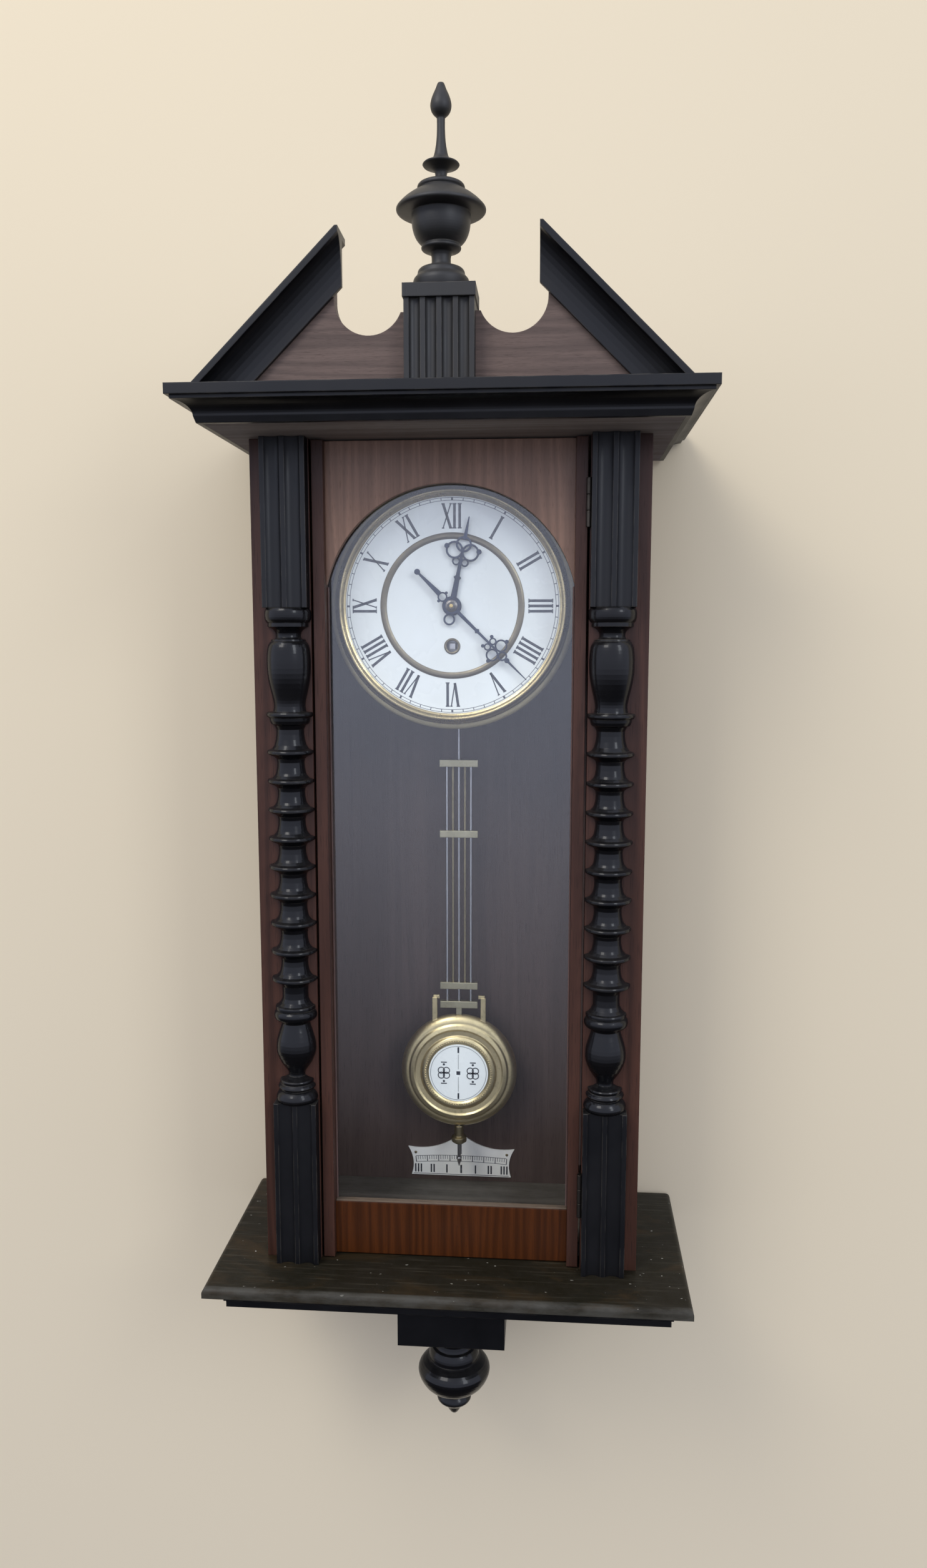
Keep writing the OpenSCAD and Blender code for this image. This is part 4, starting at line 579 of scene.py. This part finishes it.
def finishes(colours):
    """Every material of the clock, made once."""
    if "Ebonised polish" in bpy.data.materials:
        return {m.name: m for m in bpy.data.materials}
    upright, along_x = (0, 0, 0), (0, math.pi / 2, 0)
    shelf_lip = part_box("base_shelf")[0].y + 0.0058
    ebony, crest, walnut, rail, stile, bare, brass, enamel, ink = (
        tuple(c) for c in (colours.ebony, colours.crest, colours.walnut, colours.rail,
                           colours.stile, colours.bare, colours.gilt, colours.enamel, colours.ink))
    made = [
        ebonised("Ebonised polish", ebony, 0.3, 0.04, gloss=0.3),
        ebonised("Ebonised crest", (0.0098, 0.0096, 0.0088), 0.42, 0.15, gloss=0.38),
        ebonised("Ebonised turnings", ebony, 0.2, 0.04, coat=0.22, dust=0.12, gloss=0.15),
        # The shelf's grey lip is partly wear and partly a painted highlight on its front edge.
        ebonised("Ebonised shelf", (0.0075, 0.0065, 0.0032), 0.34, 0.2, dust=0.06, gloss=0.1,
                 lip=shelf_lip),
        veneer("Crest veneer", crest, 0.62, 1.15, along_x, 0.5, 0.0, scale=2.8, gloss=0.25),
        veneer("Panel veneer", walnut, 0.68, 1.1, upright, 0.42, 0.08, scale=2.0),
        veneer("Rail veneer", rail, 0.45, 1.15, upright, 0.3, 0.1, wave=0.4, scale=3.4, gloss=0.16),
        veneer("Stained stiles", stile, 0.6, 1.4, upright, 0.34, 0.05, gloss=0.2),
        veneer("Stained sides", shade(stile, 1.1), 0.6, 1.5, upright, 0.4, 0.03, gloss=0.22),
        veneer("Inner boards", (0.076, 0.052, 0.044), 0.85, 1.12, upright, 0.55, 0.0, gloss=0.2),
        veneer("Inner floor", (0.085, 0.075, 0.06), 0.7, 1.3, along_x, 0.5, 0.0),
        veneer("Bare wood", bare, 0.75, 1.2, along_x, 0.75, 0.0, worn=0.1),
        veneer("Glazing bead", (0.12, 0.085, 0.055), 0.6, 1.3, along_x, 0.5, 0.0, gloss=0.2),
        veneer("Stile bead", (0.1, 0.058, 0.046), 0.7, 1.3, upright, 0.4, 0.1),
        metal("Bezel brass", brass, (0.13, 0.11, 0.07), 0.24, 0.8, rings=DIAL),
        metal("Flange brass", (0.4, 0.34, 0.19), (0.28, 0.24, 0.14), 0.42, 0.8, rings=DIAL,
              metallic=0.4),
        metal("Bob brass", (0.74, 0.61, 0.34), (0.3, 0.26, 0.16), 0.32, 0.85, rings=BOB,
              spots=24.0),
        metal("Movement brass", (0.6, 0.44, 0.18), (0.3, 0.21, 0.09), 0.24, 0.45),
        metal("Fitting brass", (0.34, 0.28, 0.16), (0.1, 0.085, 0.06), 0.34, 0.8),
        metal("Dark fittings", (0.06, 0.052, 0.042), (0.025, 0.022, 0.02), 0.42, 0.7),
        metal("Ring brass", (0.175, 0.15, 0.105), (0.1, 0.09, 0.07), 0.42, 0.6, rings=DIAL),
        metal("Pale brass", (0.43, 0.39, 0.26), (0.22, 0.2, 0.13), 0.34, 0.7),
        metal("Bright steel", (0.5, 0.5, 0.51), (0.2, 0.18, 0.16), 0.3, 0.5,
              brushed=(900, 900, 60)),
        metal("Dark steel", (0.16, 0.15, 0.145), (0.06, 0.05, 0.045), 0.34, 0.6),
        metal("Blued steel", (0.04, 0.05, 0.08), (0.025, 0.027, 0.033), 0.3, 0.6),
        enamelled("Dial enamel", enamel),
        # Painted light: the bob's face is the dial's enamel made paler, standing in for light that
        # the dim lower case lacks.
        enamelled("Bob enamel", shade(enamel, 1.18), 0.15),
        # Painted light, in part: the scale's warm cream is its own tone, and its extra paleness
        # stands in for light that the dim lower case lacks.
        enamelled("Scale enamel", (0.97, 0.95, 0.86), 0.35),
        ink_print("Ink", ink),
        clear_glass("Door glass"),
    ]
    return {m.name: m for m in made}


NODE_FINISH = {
    "Ebonised polish": ("reeded_blocks", "cornice_moulding", "rake_mouldings",
                        "base_moulding", "pendant_block"),
    "Ebonised crest": ("crest_plinth", "finial"),
    "Ebonised turnings": ("turned_columns", "pendant_drop"),
    "Ebonised shelf": ("base_shelf",),
    "Crest veneer": ("crest_board",),
    "Panel veneer": ("arch_panel",),
    "Rail veneer": ("bottom_rail",),
    "Stained stiles": ("front_stiles", "door_stiles"),
    "Stained sides": ("side_boards",),
    "Inner boards": ("back_board",),
    "Inner floor": ("floor_board",),
    "Bare wood": ("top_board",),
    "Bezel brass": ("bezel",),
    "Bob brass": ("bob_case",),
    "Movement brass": ("front_plate", "back_plate", "pillars", "back_cock", "dial_plate",
                       "escape_wheel", "third_wheel", "centre_wheel", "intermediate_wheel",
                       "barrel", "minute_wheel", "hour_wheel"),
    "Fitting brass": ("door_catch", "pendulum_hook", "brass_rods", "rating_nut"),
    "Dark fittings": ("hinge_leaves", "hinge_door_leaves"),
    "Ring brass": ("dial_rings",),
    "Pale brass": ("crossbars",),
    "Bright steel": ("hanger_plate", "screws", "movement_bracket", "suspension_spring",
                     "steel_rods", "rating_screw", "anchor", "mainspring", "winding_arbor",
                     "click"),
    "Dark steel": ("cannon_pinion", "hand_nut"),
    "Blued steel": ("hour_hand", "minute_hand"),
    "Dial enamel": ("dial_enamel",),
    "Bob enamel": ("bob_enamel",),
    "Scale enamel": ("beat_scale",),
    "Door glass": ("glass",),
}


class CLOCK_OT_finish_parts(bpy.types.Operator):
    """Gives every carried-over part its finish"""

    bl_idname = "clock.finish_parts"
    bl_label = "Finish the parts"

    def execute(self, context):
        made = finishes(context.scene.clock_colours)
        for name, nodes in NODE_FINISH.items():
            for node in nodes:
                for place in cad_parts[node].material_slots:
                    place.material = made[name]
        return {"FINISHED"}


# Dial

NUMERALS = ("XII", "I", "II", "III", "IIII", "V", "VI", "VII", "VIII", "IX", "X", "XI")
# In heights of a numeral: each letter's room, its strokes from end to end, and the middle and half
# length of each serif at its head
LETTER_STROKES = {
    "I": (0.22, (((0, 0), (0, 1), "thick"),), ((0, 0.085),)),
    "V": (0.4, (((-0.15, 1), (0, 0), "thick"), ((0.15, 1), (0, 0), "thin")),
          ((-0.15, 0.075), (0.15, 0.05))),
    "X": (0.42, (((-0.16, 1), (0.16, 0), "thick"), ((0.16, 1), (-0.16, 0), "thin")),
          ((-0.16, 0.07), (0.16, 0.05))),
}
SERIF_RISE = 1.2            # in print heights, so that a serif covers its stroke's end
TRACK_WIDTH = 0.0022
TRACK_LINE = 0.0004
HOUR_MARK, MINUTE_MARK = 0.0015, 0.0006
FLANGE_LAP = 0.0002         # how far the flange reaches into the bezel, and stops short of its back
FLANGE_FLAT = 0.25          # share of the flange's width that is flat in front
FLANGE_STEPS = 6


class CLOCK_OT_dial_print(bpy.types.Operator):
    """Prints the hour numerals and the minute track on the dial"""

    bl_idname = "clock.dial_print"
    bl_label = "Print the dial"

    def execute(self, context):
        drawing = context.scene.clock_drawing
        bm = bmesh.new()
        front, depth = DIAL_LOW.y, drawing.print_height
        for hour, word in enumerate(NUMERALS):
            self.numeral(bm, drawing, word, math.radians(30 * hour))
        inner = drawing.track_radius
        outer = inner + TRACK_WIDTH
        for radius in (inner, outer):
            circle_line(bm, DIAL, radius, TRACK_LINE, front, depth, 160)
        centre = Vector((DIAL.x, DIAL.z))
        for minute in range(60):
            way = Vector((math.sin(math.tau * minute / 60), math.cos(math.tau * minute / 60)))
            wide = HOUR_MARK if minute % 5 == 0 else MINUTE_MARK
            bar(bm, centre + way * inner, centre + way * outer, wide, front, depth)
        new_piece("dial_print", bm, finishes(context.scene.clock_colours)["Ink"], "case")
        return {"FINISHED"}

    def numeral(self, bm, drawing, word, angle):
        """One numeral whose foot points at the centre."""
        tall = drawing.numeral_height
        out = Vector((math.sin(angle), math.cos(angle)))
        side = Vector((math.cos(angle), -math.sin(angle)))
        foot = Vector((DIAL.x, DIAL.z)) + out * drawing.numeral_foot
        across = -sum(LETTER_STROKES[letter][0] for letter in word) / 2
        widths = {"thick": drawing.thick_stroke, "thin": drawing.thin_stroke}

        def stroke(start, end, width, rise=1.0):
            a, b = (foot + side * ((middle + u) * tall) + out * (v * tall) for u, v in (start, end))
            bar(bm, a, b, width, DIAL_LOW.y, drawing.print_height * rise)

        for letter in word:
            room, strokes, serifs = LETTER_STROKES[letter]
            middle = across + room / 2
            for start, end, kind in strokes:
                stroke(start, end, widths[kind])
            for u, half in serifs:
                stroke((u - half, 1), (u + half, 1), drawing.thin_stroke, SERIF_RISE)
                if letter != "V":
                    low_u = -u if letter == "X" else u
                    stroke((low_u - half, 0), (low_u + half, 0), drawing.thin_stroke, SERIF_RISE)
            across += room


class CLOCK_OT_bezel_flange(bpy.types.Operator):
    """Turns the low flange that runs round the foot of the bezel"""

    bl_idname = "clock.bezel_flange"
    bl_label = "Turn the bezel's flange"

    def execute(self, context):
        drawing = context.scene.clock_drawing
        bm = bmesh.new()
        inner = (BEZEL_HIGH.x - BEZEL_LOW.x) / 2 - FLANGE_LAP
        foot = BEZEL_HIGH.y - FLANGE_LAP
        profile = [(0, 0), (0, 1)]
        for i in range(FLANGE_STEPS + 1):
            angle = math.pi / 2 * i / FLANGE_STEPS
            profile.append((FLANGE_FLAT + (1 - FLANGE_FLAT) * math.sin(angle), math.cos(angle)))
        section = [Vector((DIAL.x + inner + drawing.flange_width * across,
                           foot - drawing.flange_height * rise, DIAL.z))
                   for across, rise in profile]
        spun(bm, section, (DIAL.x, 0, DIAL.z), steps=160)
        brass = finishes(context.scene.clock_colours)["Flange brass"]
        new_piece("bezel_flange", bm, brass, "case")
        return {"FINISHED"}


# Beat scale, its heights measured up from its foot

SCALE_ARM = 0.545           # radius of the upper printed arc
SCALE_TOP = 0.0195          # height of that arc's middle
SCALE_BAND = 0.0056         # from the upper arc to the lower, and length of a long division
SHORT_DIVISION = 0.0036
DIVISION_START = 0.0002
SCALE_REACH = 0.86          # share of the half width that is divided
SIDE_DIVISIONS = 20
FINE_LINE, LONG_LINE = 0.0004, 0.0007
TALLY_FOOT, TALLY_HEAD = 0.0025, 0.0105
TALLY_SPREAD = 0.27         # share of the half width from one group of strokes to the next
TALLY_GAP, TALLY_WIDTH, MIDDLE_WIDTH = 0.0026, 0.0013, 0.0016
RULE_HEIGHT, RULE_REACH, RULE_WIDTH = 0.0011, 0.9, 0.0005
POINTER_FOOT, POINTER_GAP, POINTER_WIDTH = 0.021, 0.003, 0.0008
PIN_HEIGHT, PIN_RADIUS, PIN_RISE = 0.0215, 0.0013, 0.55


class CLOCK_OT_scale_print(bpy.types.Operator):
    """Prints the divisions on the beat scale and sets its two pins"""

    bl_idname = "clock.scale_print"
    bl_label = "Print the beat scale"

    def execute(self, context):
        bm = bmesh.new()
        front, depth = SCALE_LOW.y, context.scene.clock_drawing.print_height
        reach = (SCALE_HIGH.x - SCALE_LOW.x) / 2
        foot = SCALE_LOW.z
        centre = Vector((0, foot + SCALE_TOP - SCALE_ARM))
        half_angle = reach * SCALE_REACH / SCALE_ARM
        for line in (0.0, SCALE_BAND):
            circle_line(bm, Vector((0, 0, centre.y - line)), SCALE_ARM, FINE_LINE, front, depth, 24,
                        math.pi / 2 - half_angle, 2 * half_angle)
        for i in range(-SIDE_DIVISIONS, SIDE_DIVISIONS + 1):
            angle = i * half_angle / SIDE_DIVISIONS
            way = Vector((math.sin(angle), math.cos(angle)))
            length, width = (SHORT_DIVISION, FINE_LINE) if i % 5 else (SCALE_BAND, LONG_LINE)
            bar(bm, centre + way * (SCALE_ARM - DIVISION_START), centre + way * (SCALE_ARM - length),
                width, front, depth)

        def upright(x, low, high, width):
            bar(bm, (x, low), (x, high), width, front, depth)

        for side in (-1, 1):
            for count in (1, 2, 3):
                middle = side * reach * TALLY_SPREAD * count
                for k in range(count):
                    upright(middle + (k - (count - 1) / 2) * TALLY_GAP, foot + TALLY_FOOT,
                            foot + TALLY_HEAD, TALLY_WIDTH)
        upright(0, foot + TALLY_FOOT, foot + TALLY_HEAD, MIDDLE_WIDTH)
        bar(bm, (-reach * RULE_REACH, foot + RULE_HEIGHT), (reach * RULE_REACH, foot + RULE_HEIGHT),
            RULE_WIDTH, front, depth)
        upright(0, foot + POINTER_FOOT, SCALE_HIGH.z - POINTER_GAP, POINTER_WIDTH)
        made = finishes(context.scene.clock_colours)
        new_piece("scale_print", bm, made["Ink"], "case")
        pins = bmesh.new()
        for side in (-1, 1):
            place = (Matrix.Translation((side * reach * SCALE_REACH, front, foot + PIN_HEIGHT))
                     @ Matrix.Rotation(math.pi / 2, 4, "X") @ Matrix.Diagonal((1, 1, PIN_RISE, 1)))
            bmesh.ops.create_uvsphere(pins, u_segments=16, v_segments=10, radius=PIN_RADIUS,
                                      matrix=place)
        new_piece("scale_pins", pins, made["Fitting brass"], "case", smooth=True)
        return {"FINISHED"}


# Bob, its places measured from the middle of its face

SQUARE_SIDE = 0.0034
RAY_START, RAY_END, RAY_WIDTH = 0.0185, 0.0238, 0.0014
HAIR_START, HAIR_END, HAIR_WIDTH = 0.0035, 0.017, 0.0003
FLOWER_PLACE = 0.0128
LEAF_PLACE, LEAF_RADIUS, LEAF_LINE = 0.0032, 0.0028, 0.0008
FLOWER_HEART = 0.0011
SPOT_PLACE, SPOT_RADIUS = 0.0077, 0.001
DASH_PLACE, DASH_HALF, DASH_WIDTH = 0.0097, 0.0026, 0.0009
RIM_INSET, RIM_LINE = 0.0016, 0.00025
BEAD_COUNT, BEAD_RADIUS, BEAD_OUTSET, BEAD_SINK = 84, 0.00085, 0.0029, 0.0002


class CLOCK_OT_bob_trim(bpy.types.Operator):
    """Prints the bob's enamel face and beads its ring"""

    bl_idname = "clock.bob_trim"
    bl_label = "Trim the bob"

    def execute(self, context):
        made = finishes(context.scene.clock_colours)
        bm = bmesh.new()
        front, depth = BOB_LOW.y, context.scene.clock_drawing.print_height
        x, z = BOB.x, BOB.z
        bar(bm, (x - SQUARE_SIDE / 2, z), (x + SQUARE_SIDE / 2, z), SQUARE_SIDE, front, depth)
        for way in (1, -1):
            bar(bm, (x, z + way * RAY_START), (x, z + way * RAY_END), RAY_WIDTH, front, depth)
            bar(bm, (x, z + way * HAIR_START), (x, z + way * HAIR_END), HAIR_WIDTH, front, depth)
        for side in (-1, 1):
            middle = x + side * FLOWER_PLACE
            for turn in range(4):
                angle = math.pi / 4 + turn * math.pi / 2
                leaf = Vector((middle + LEAF_PLACE * math.cos(angle), 0,
                               z + LEAF_PLACE * math.sin(angle)))
                circle_line(bm, leaf, LEAF_RADIUS, LEAF_LINE, front, depth, 20)
            dot(bm, middle, z, FLOWER_HEART, front, depth)
            for way in (1, -1):
                dot(bm, middle, z + way * SPOT_PLACE, SPOT_RADIUS, front, depth)
                height = z + way * DASH_PLACE
                bar(bm, (middle - DASH_HALF, height), (middle + DASH_HALF, height), DASH_WIDTH,
                    front, depth)
        circle_line(bm, BOB, BOB_FACE_RADIUS - RIM_INSET, RIM_LINE, front, depth, 96)
        new_piece("bob_print", bm, made["Ink"], "bob")
        beads = bmesh.new()
        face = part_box("bob_case")[0].y + BEAD_SINK
        ring = BOB_FACE_RADIUS + BEAD_OUTSET
        for i in range(BEAD_COUNT):
            angle = math.tau * i / BEAD_COUNT
            seat = (x + ring * math.cos(angle), face, z + ring * math.sin(angle))
            bmesh.ops.create_icosphere(beads, subdivisions=1, radius=BEAD_RADIUS,
                                       matrix=Matrix.Translation(seat))
        new_piece("bob_beads", beads, made["Bob brass"], "bob", smooth=True)
        return {"FINISHED"}


# Door

RAIL_BEAD, RAIL_BEAD_END, RAIL_BEAD_FRONT = 0.0012, 0.0002, 0.0003    # its height and gaps
SIDE_BEAD_WIDTH, SIDE_BEAD_DEPTH, SIDE_BEAD_INSET = 0.0013, 0.0022, 0.0007
SIDE_BEAD_BACK = 0.0012     # from the glass's front to the middle of a side bead
BEAD_ROUNDING = 0.0003


class CLOCK_OT_glazing_beads(bpy.types.Operator):
    """Lays the thin pale beads that hold the glass"""

    bl_idname = "clock.glazing_beads"
    bl_label = "Lay the glazing beads"

    def execute(self, context):
        made = finishes(context.scene.clock_colours)
        panel_low, panel_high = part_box("arch_panel")
        half, front, top = panel_high.x, GLASS_LOW.y, RAIL_HIGH.z
        deep = front - RAIL_LOW.y
        rail = bmesh.new()
        self.strip(rail, (0, front - deep / 2, top + RAIL_BEAD / 2),
                   (2 * (half - RAIL_BEAD_END), deep - 2 * RAIL_BEAD_FRONT, RAIL_BEAD))
        sides = bmesh.new()
        for side in (-1, 1):
            self.strip(sides, (side * (half - SIDE_BEAD_INSET), front - SIDE_BEAD_BACK,
                               (top + panel_low.z) / 2),
                       (SIDE_BEAD_WIDTH, SIDE_BEAD_DEPTH, panel_low.z - top - 2 * RAIL_BEAD))
        for beads in (rail, sides):
            bmesh.ops.bevel(beads, geom=beads.edges[:], offset=BEAD_ROUNDING, offset_type="OFFSET",
                            segments=2, profile=0.5, affect="EDGES", material=-1)
        new_piece("rail_bead", rail, made["Glazing bead"], "door")
        new_piece("side_beads", sides, made["Stile bead"], "door")
        return {"FINISHED"}

    def strip(self, bm, middle, size):
        """A square strip of wood, before its edges are rounded."""
        place = Matrix.Translation(middle) @ Matrix.Diagonal((*size, 1))
        bmesh.ops.create_cube(bm, size=1, matrix=place)


# Studio

WALL_COLOUR = (0.635, 0.545, 0.385)
SKY_COLOUR = (0.86, 0.84, 0.8)            # what the camera sees past the wall
ROOM_BOTTOM, ROOM_TOP = -0.42, -0.04      # directions between which the room's light turns
WALL_HALF_WIDTH, WALL_TOP, WALL_BEND, FLOOR_LENGTH = 4, 3, 0.3, 1.2
# Each lamp's name, place, aim, size in metres, power in watts and colour
LAMPS = (
    ("Key lamp", (-1.0, -1.5, 1.5), (0, -0.1, 0.15), (0.9, 1.2), 27, (1.0, 0.97, 0.91)),
    ("Fill lamp", (1.5, -1.8, 0.9), (0, -0.1, -0.35), (0.6, 1.2), 15, (0.9, 0.95, 1.0)),
)


def backdrop_material():
    """Pale wall and floor seen from the front only; gloss shows the wall and not the floor."""
    material, tree, shader, _ = new_material("Backdrop")
    feed_all(tree, shader, Base_Color=WALL_COLOUR, Roughness=0.9, Specular_IOR_Level=0.1)
    path = tree.nodes.new("ShaderNodeLightPath")
    shape = tree.nodes.new("ShaderNodeNewGeometry")
    straight = times(tree, path.outputs["Is Transmission Ray"],
                     math_node(tree, "LESS_THAN", path.outputs["Glossy Depth"], 0.5))
    parts = tree.nodes.new("ShaderNodeSeparateXYZ")
    feed(tree, parts.inputs[0], shape.outputs["Normal"])
    mirrored = times(tree, path.outputs["Is Glossy Ray"],
                     math_node(tree, "LESS_THAN", parts.outputs["Z"], 0.1))
    looked_at = math_node(tree, "ADD", path.outputs["Is Camera Ray"], straight)
    seen = math_node(tree, "ADD", looked_at, mirrored, clamp=True)
    facing = math_node(tree, "SUBTRACT", 1.0, shape.outputs["Backfacing"])
    through = tree.nodes.new("ShaderNodeBsdfTransparent")
    choose_shader(tree, times(tree, seen, facing), through.outputs[0], shader.outputs[0])
    return material


class CLOCK_OT_stage(bpy.types.Operator):
    """Sets the camera, the lamps and a plain pale backdrop"""

    bl_idname = "clock.stage"
    bl_label = "Set the stage"

    def execute(self, context):
        studio = context.scene.clock_studio
        self.camera(context.scene, studio)
        self.backdrop(studio)
        for lamp in LAMPS:
            self.lamp(context.scene, *lamp)
        self.room(context.scene, studio)
        context.scene.view_settings.view_transform = "Standard"
        return {"FINISHED"}

    def camera(self, scene, studio):
        """The photograph's view, with no shift and no depth of field."""
        data = bpy.data.cameras.new("Camera")
        data.lens = studio.lens
        data.sensor_width = 36
        data.sensor_fit = "AUTO"
        data.clip_start, data.clip_end = 0.01, 50
        camera = bpy.data.objects.new("Camera", data)
        scene.collection.objects.link(camera)
        camera.location = studio.camera_place
        camera.rotation_euler = (math.pi / 2 - studio.camera_dip, 0, studio.camera_turn)
        scene.camera = camera

    def backdrop(self, studio):
        """A wall that bends forward into a floor."""
        gap, bend_foot = studio.wall_gap, studio.floor_height + WALL_BEND
        bm = bmesh.new()
        edge = bm.edges.new([bm.verts.new((-WALL_HALF_WIDTH, gap, WALL_TOP)),
                             bm.verts.new((WALL_HALF_WIDTH, gap, WALL_TOP))])

        def drawn(edges, shift):
            new = bmesh.ops.extrude_edge_only(bm, edges=edges)["geom"]
            verts = [v for v in new if isinstance(v, bmesh.types.BMVert)]
            bmesh.ops.translate(bm, verts=verts, vec=shift)
            return verts, [e for e in new if isinstance(e, bmesh.types.BMEdge)]

        verts, edges = drawn([edge], (0, 0, bend_foot - WALL_TOP))
        turned = bmesh.ops.spin(bm, geom=edges + verts, cent=(0, gap - WALL_BEND, bend_foot),
                                axis=(-1, 0, 0), dvec=(0, 0, 0), angle=math.pi / 2, steps=12,
                                use_merge=False, use_normal_flip=False,
                                use_duplicate=False)["geom_last"]
        drawn([e for e in turned if isinstance(e, bmesh.types.BMEdge)], (0, -FLOOR_LENGTH, 0))
        bmesh.ops.recalc_face_normals(bm, faces=bm.faces)
        bm.faces.ensure_lookup_table()
        if bm.faces[0].normal.y > 0:
            bmesh.ops.reverse_faces(bm, faces=bm.faces)
        stored("Backdrop", bm, backdrop_material(), smooth=True)

    def lamp(self, scene, name, place, aim, size, power, colour):
        """A soft lamp that faces its aim."""
        light = bpy.data.lights.new(name, "AREA")
        light.shape = "RECTANGLE"
        light.size, light.size_y = size
        light.energy = power
        light.color = colour
        obj = bpy.data.objects.new(name, light)
        scene.collection.objects.link(obj)
        obj.location = place
        obj.rotation_euler = (Vector(aim) - Vector(place)).to_track_quat("-Z", "Y").to_euler()

    def room(self, scene, studio):
        """Dim light from below that turns into cool light from above."""
        world = bpy.data.worlds.new("World")
        scene.world = world
        world.use_nodes = True
        tree = world.node_tree
        way = tree.nodes.new("ShaderNodeTexCoord")
        parts = tree.nodes.new("ShaderNodeSeparateXYZ")
        feed(tree, parts.inputs[0], way.outputs["Generated"])
        height = remap(tree, parts.outputs["Z"], ROOM_BOTTOM, ROOM_TOP)
        light = blend_colour(tree, height, tuple(studio.room_low), tuple(studio.room_high))
        path = tree.nodes.new("ShaderNodeLightPath")
        feed_all(tree, tree.nodes["Background"],
                 Color=blend_colour(tree, path.outputs["Is Camera Ray"], light, SKY_COLOUR))


class CLOCK_PT_sidebar(bpy.types.Panel):
    """Lists the clock's steps in the sidebar"""

    bl_label = "Wall clock"
    bl_idname = "CLOCK_PT_sidebar"
    bl_space_type = "VIEW_3D"
    bl_region_type = "UI"
    bl_category = "Wall clock"

    def draw(self, context):
        layout = self.layout
        for step in STEPS:
            layout.operator(step.bl_idname)
        for settings in (context.scene.clock_drawing, context.scene.clock_colours,
                         context.scene.clock_studio):
            for name in settings.__annotations__:
                layout.prop(settings, name)


STEPS = (CLOCK_OT_stage, CLOCK_OT_finish_parts, CLOCK_OT_dial_print, CLOCK_OT_bezel_flange,
         CLOCK_OT_scale_print, CLOCK_OT_bob_trim, CLOCK_OT_glazing_beads)
SETTINGS = (ClockDrawing, ClockColours, ClockStudio)


def register():
    for item in SETTINGS + STEPS + (CLOCK_PT_sidebar,):
        bpy.utils.register_class(item)
    bpy.types.Scene.clock_drawing = bpy.props.PointerProperty(type=ClockDrawing)
    bpy.types.Scene.clock_colours = bpy.props.PointerProperty(type=ClockColours)
    bpy.types.Scene.clock_studio = bpy.props.PointerProperty(type=ClockStudio)


def unregister():
    del bpy.types.Scene.clock_drawing
    del bpy.types.Scene.clock_colours
    del bpy.types.Scene.clock_studio
    for item in reversed(SETTINGS + STEPS + (CLOCK_PT_sidebar,)):
        bpy.utils.unregister_class(item)


def main():
    register()
    for step in STEPS:
        area, name = step.bl_idname.split(".")
        getattr(getattr(bpy.ops, area), name)()


if __name__ == "__main__":
    main()
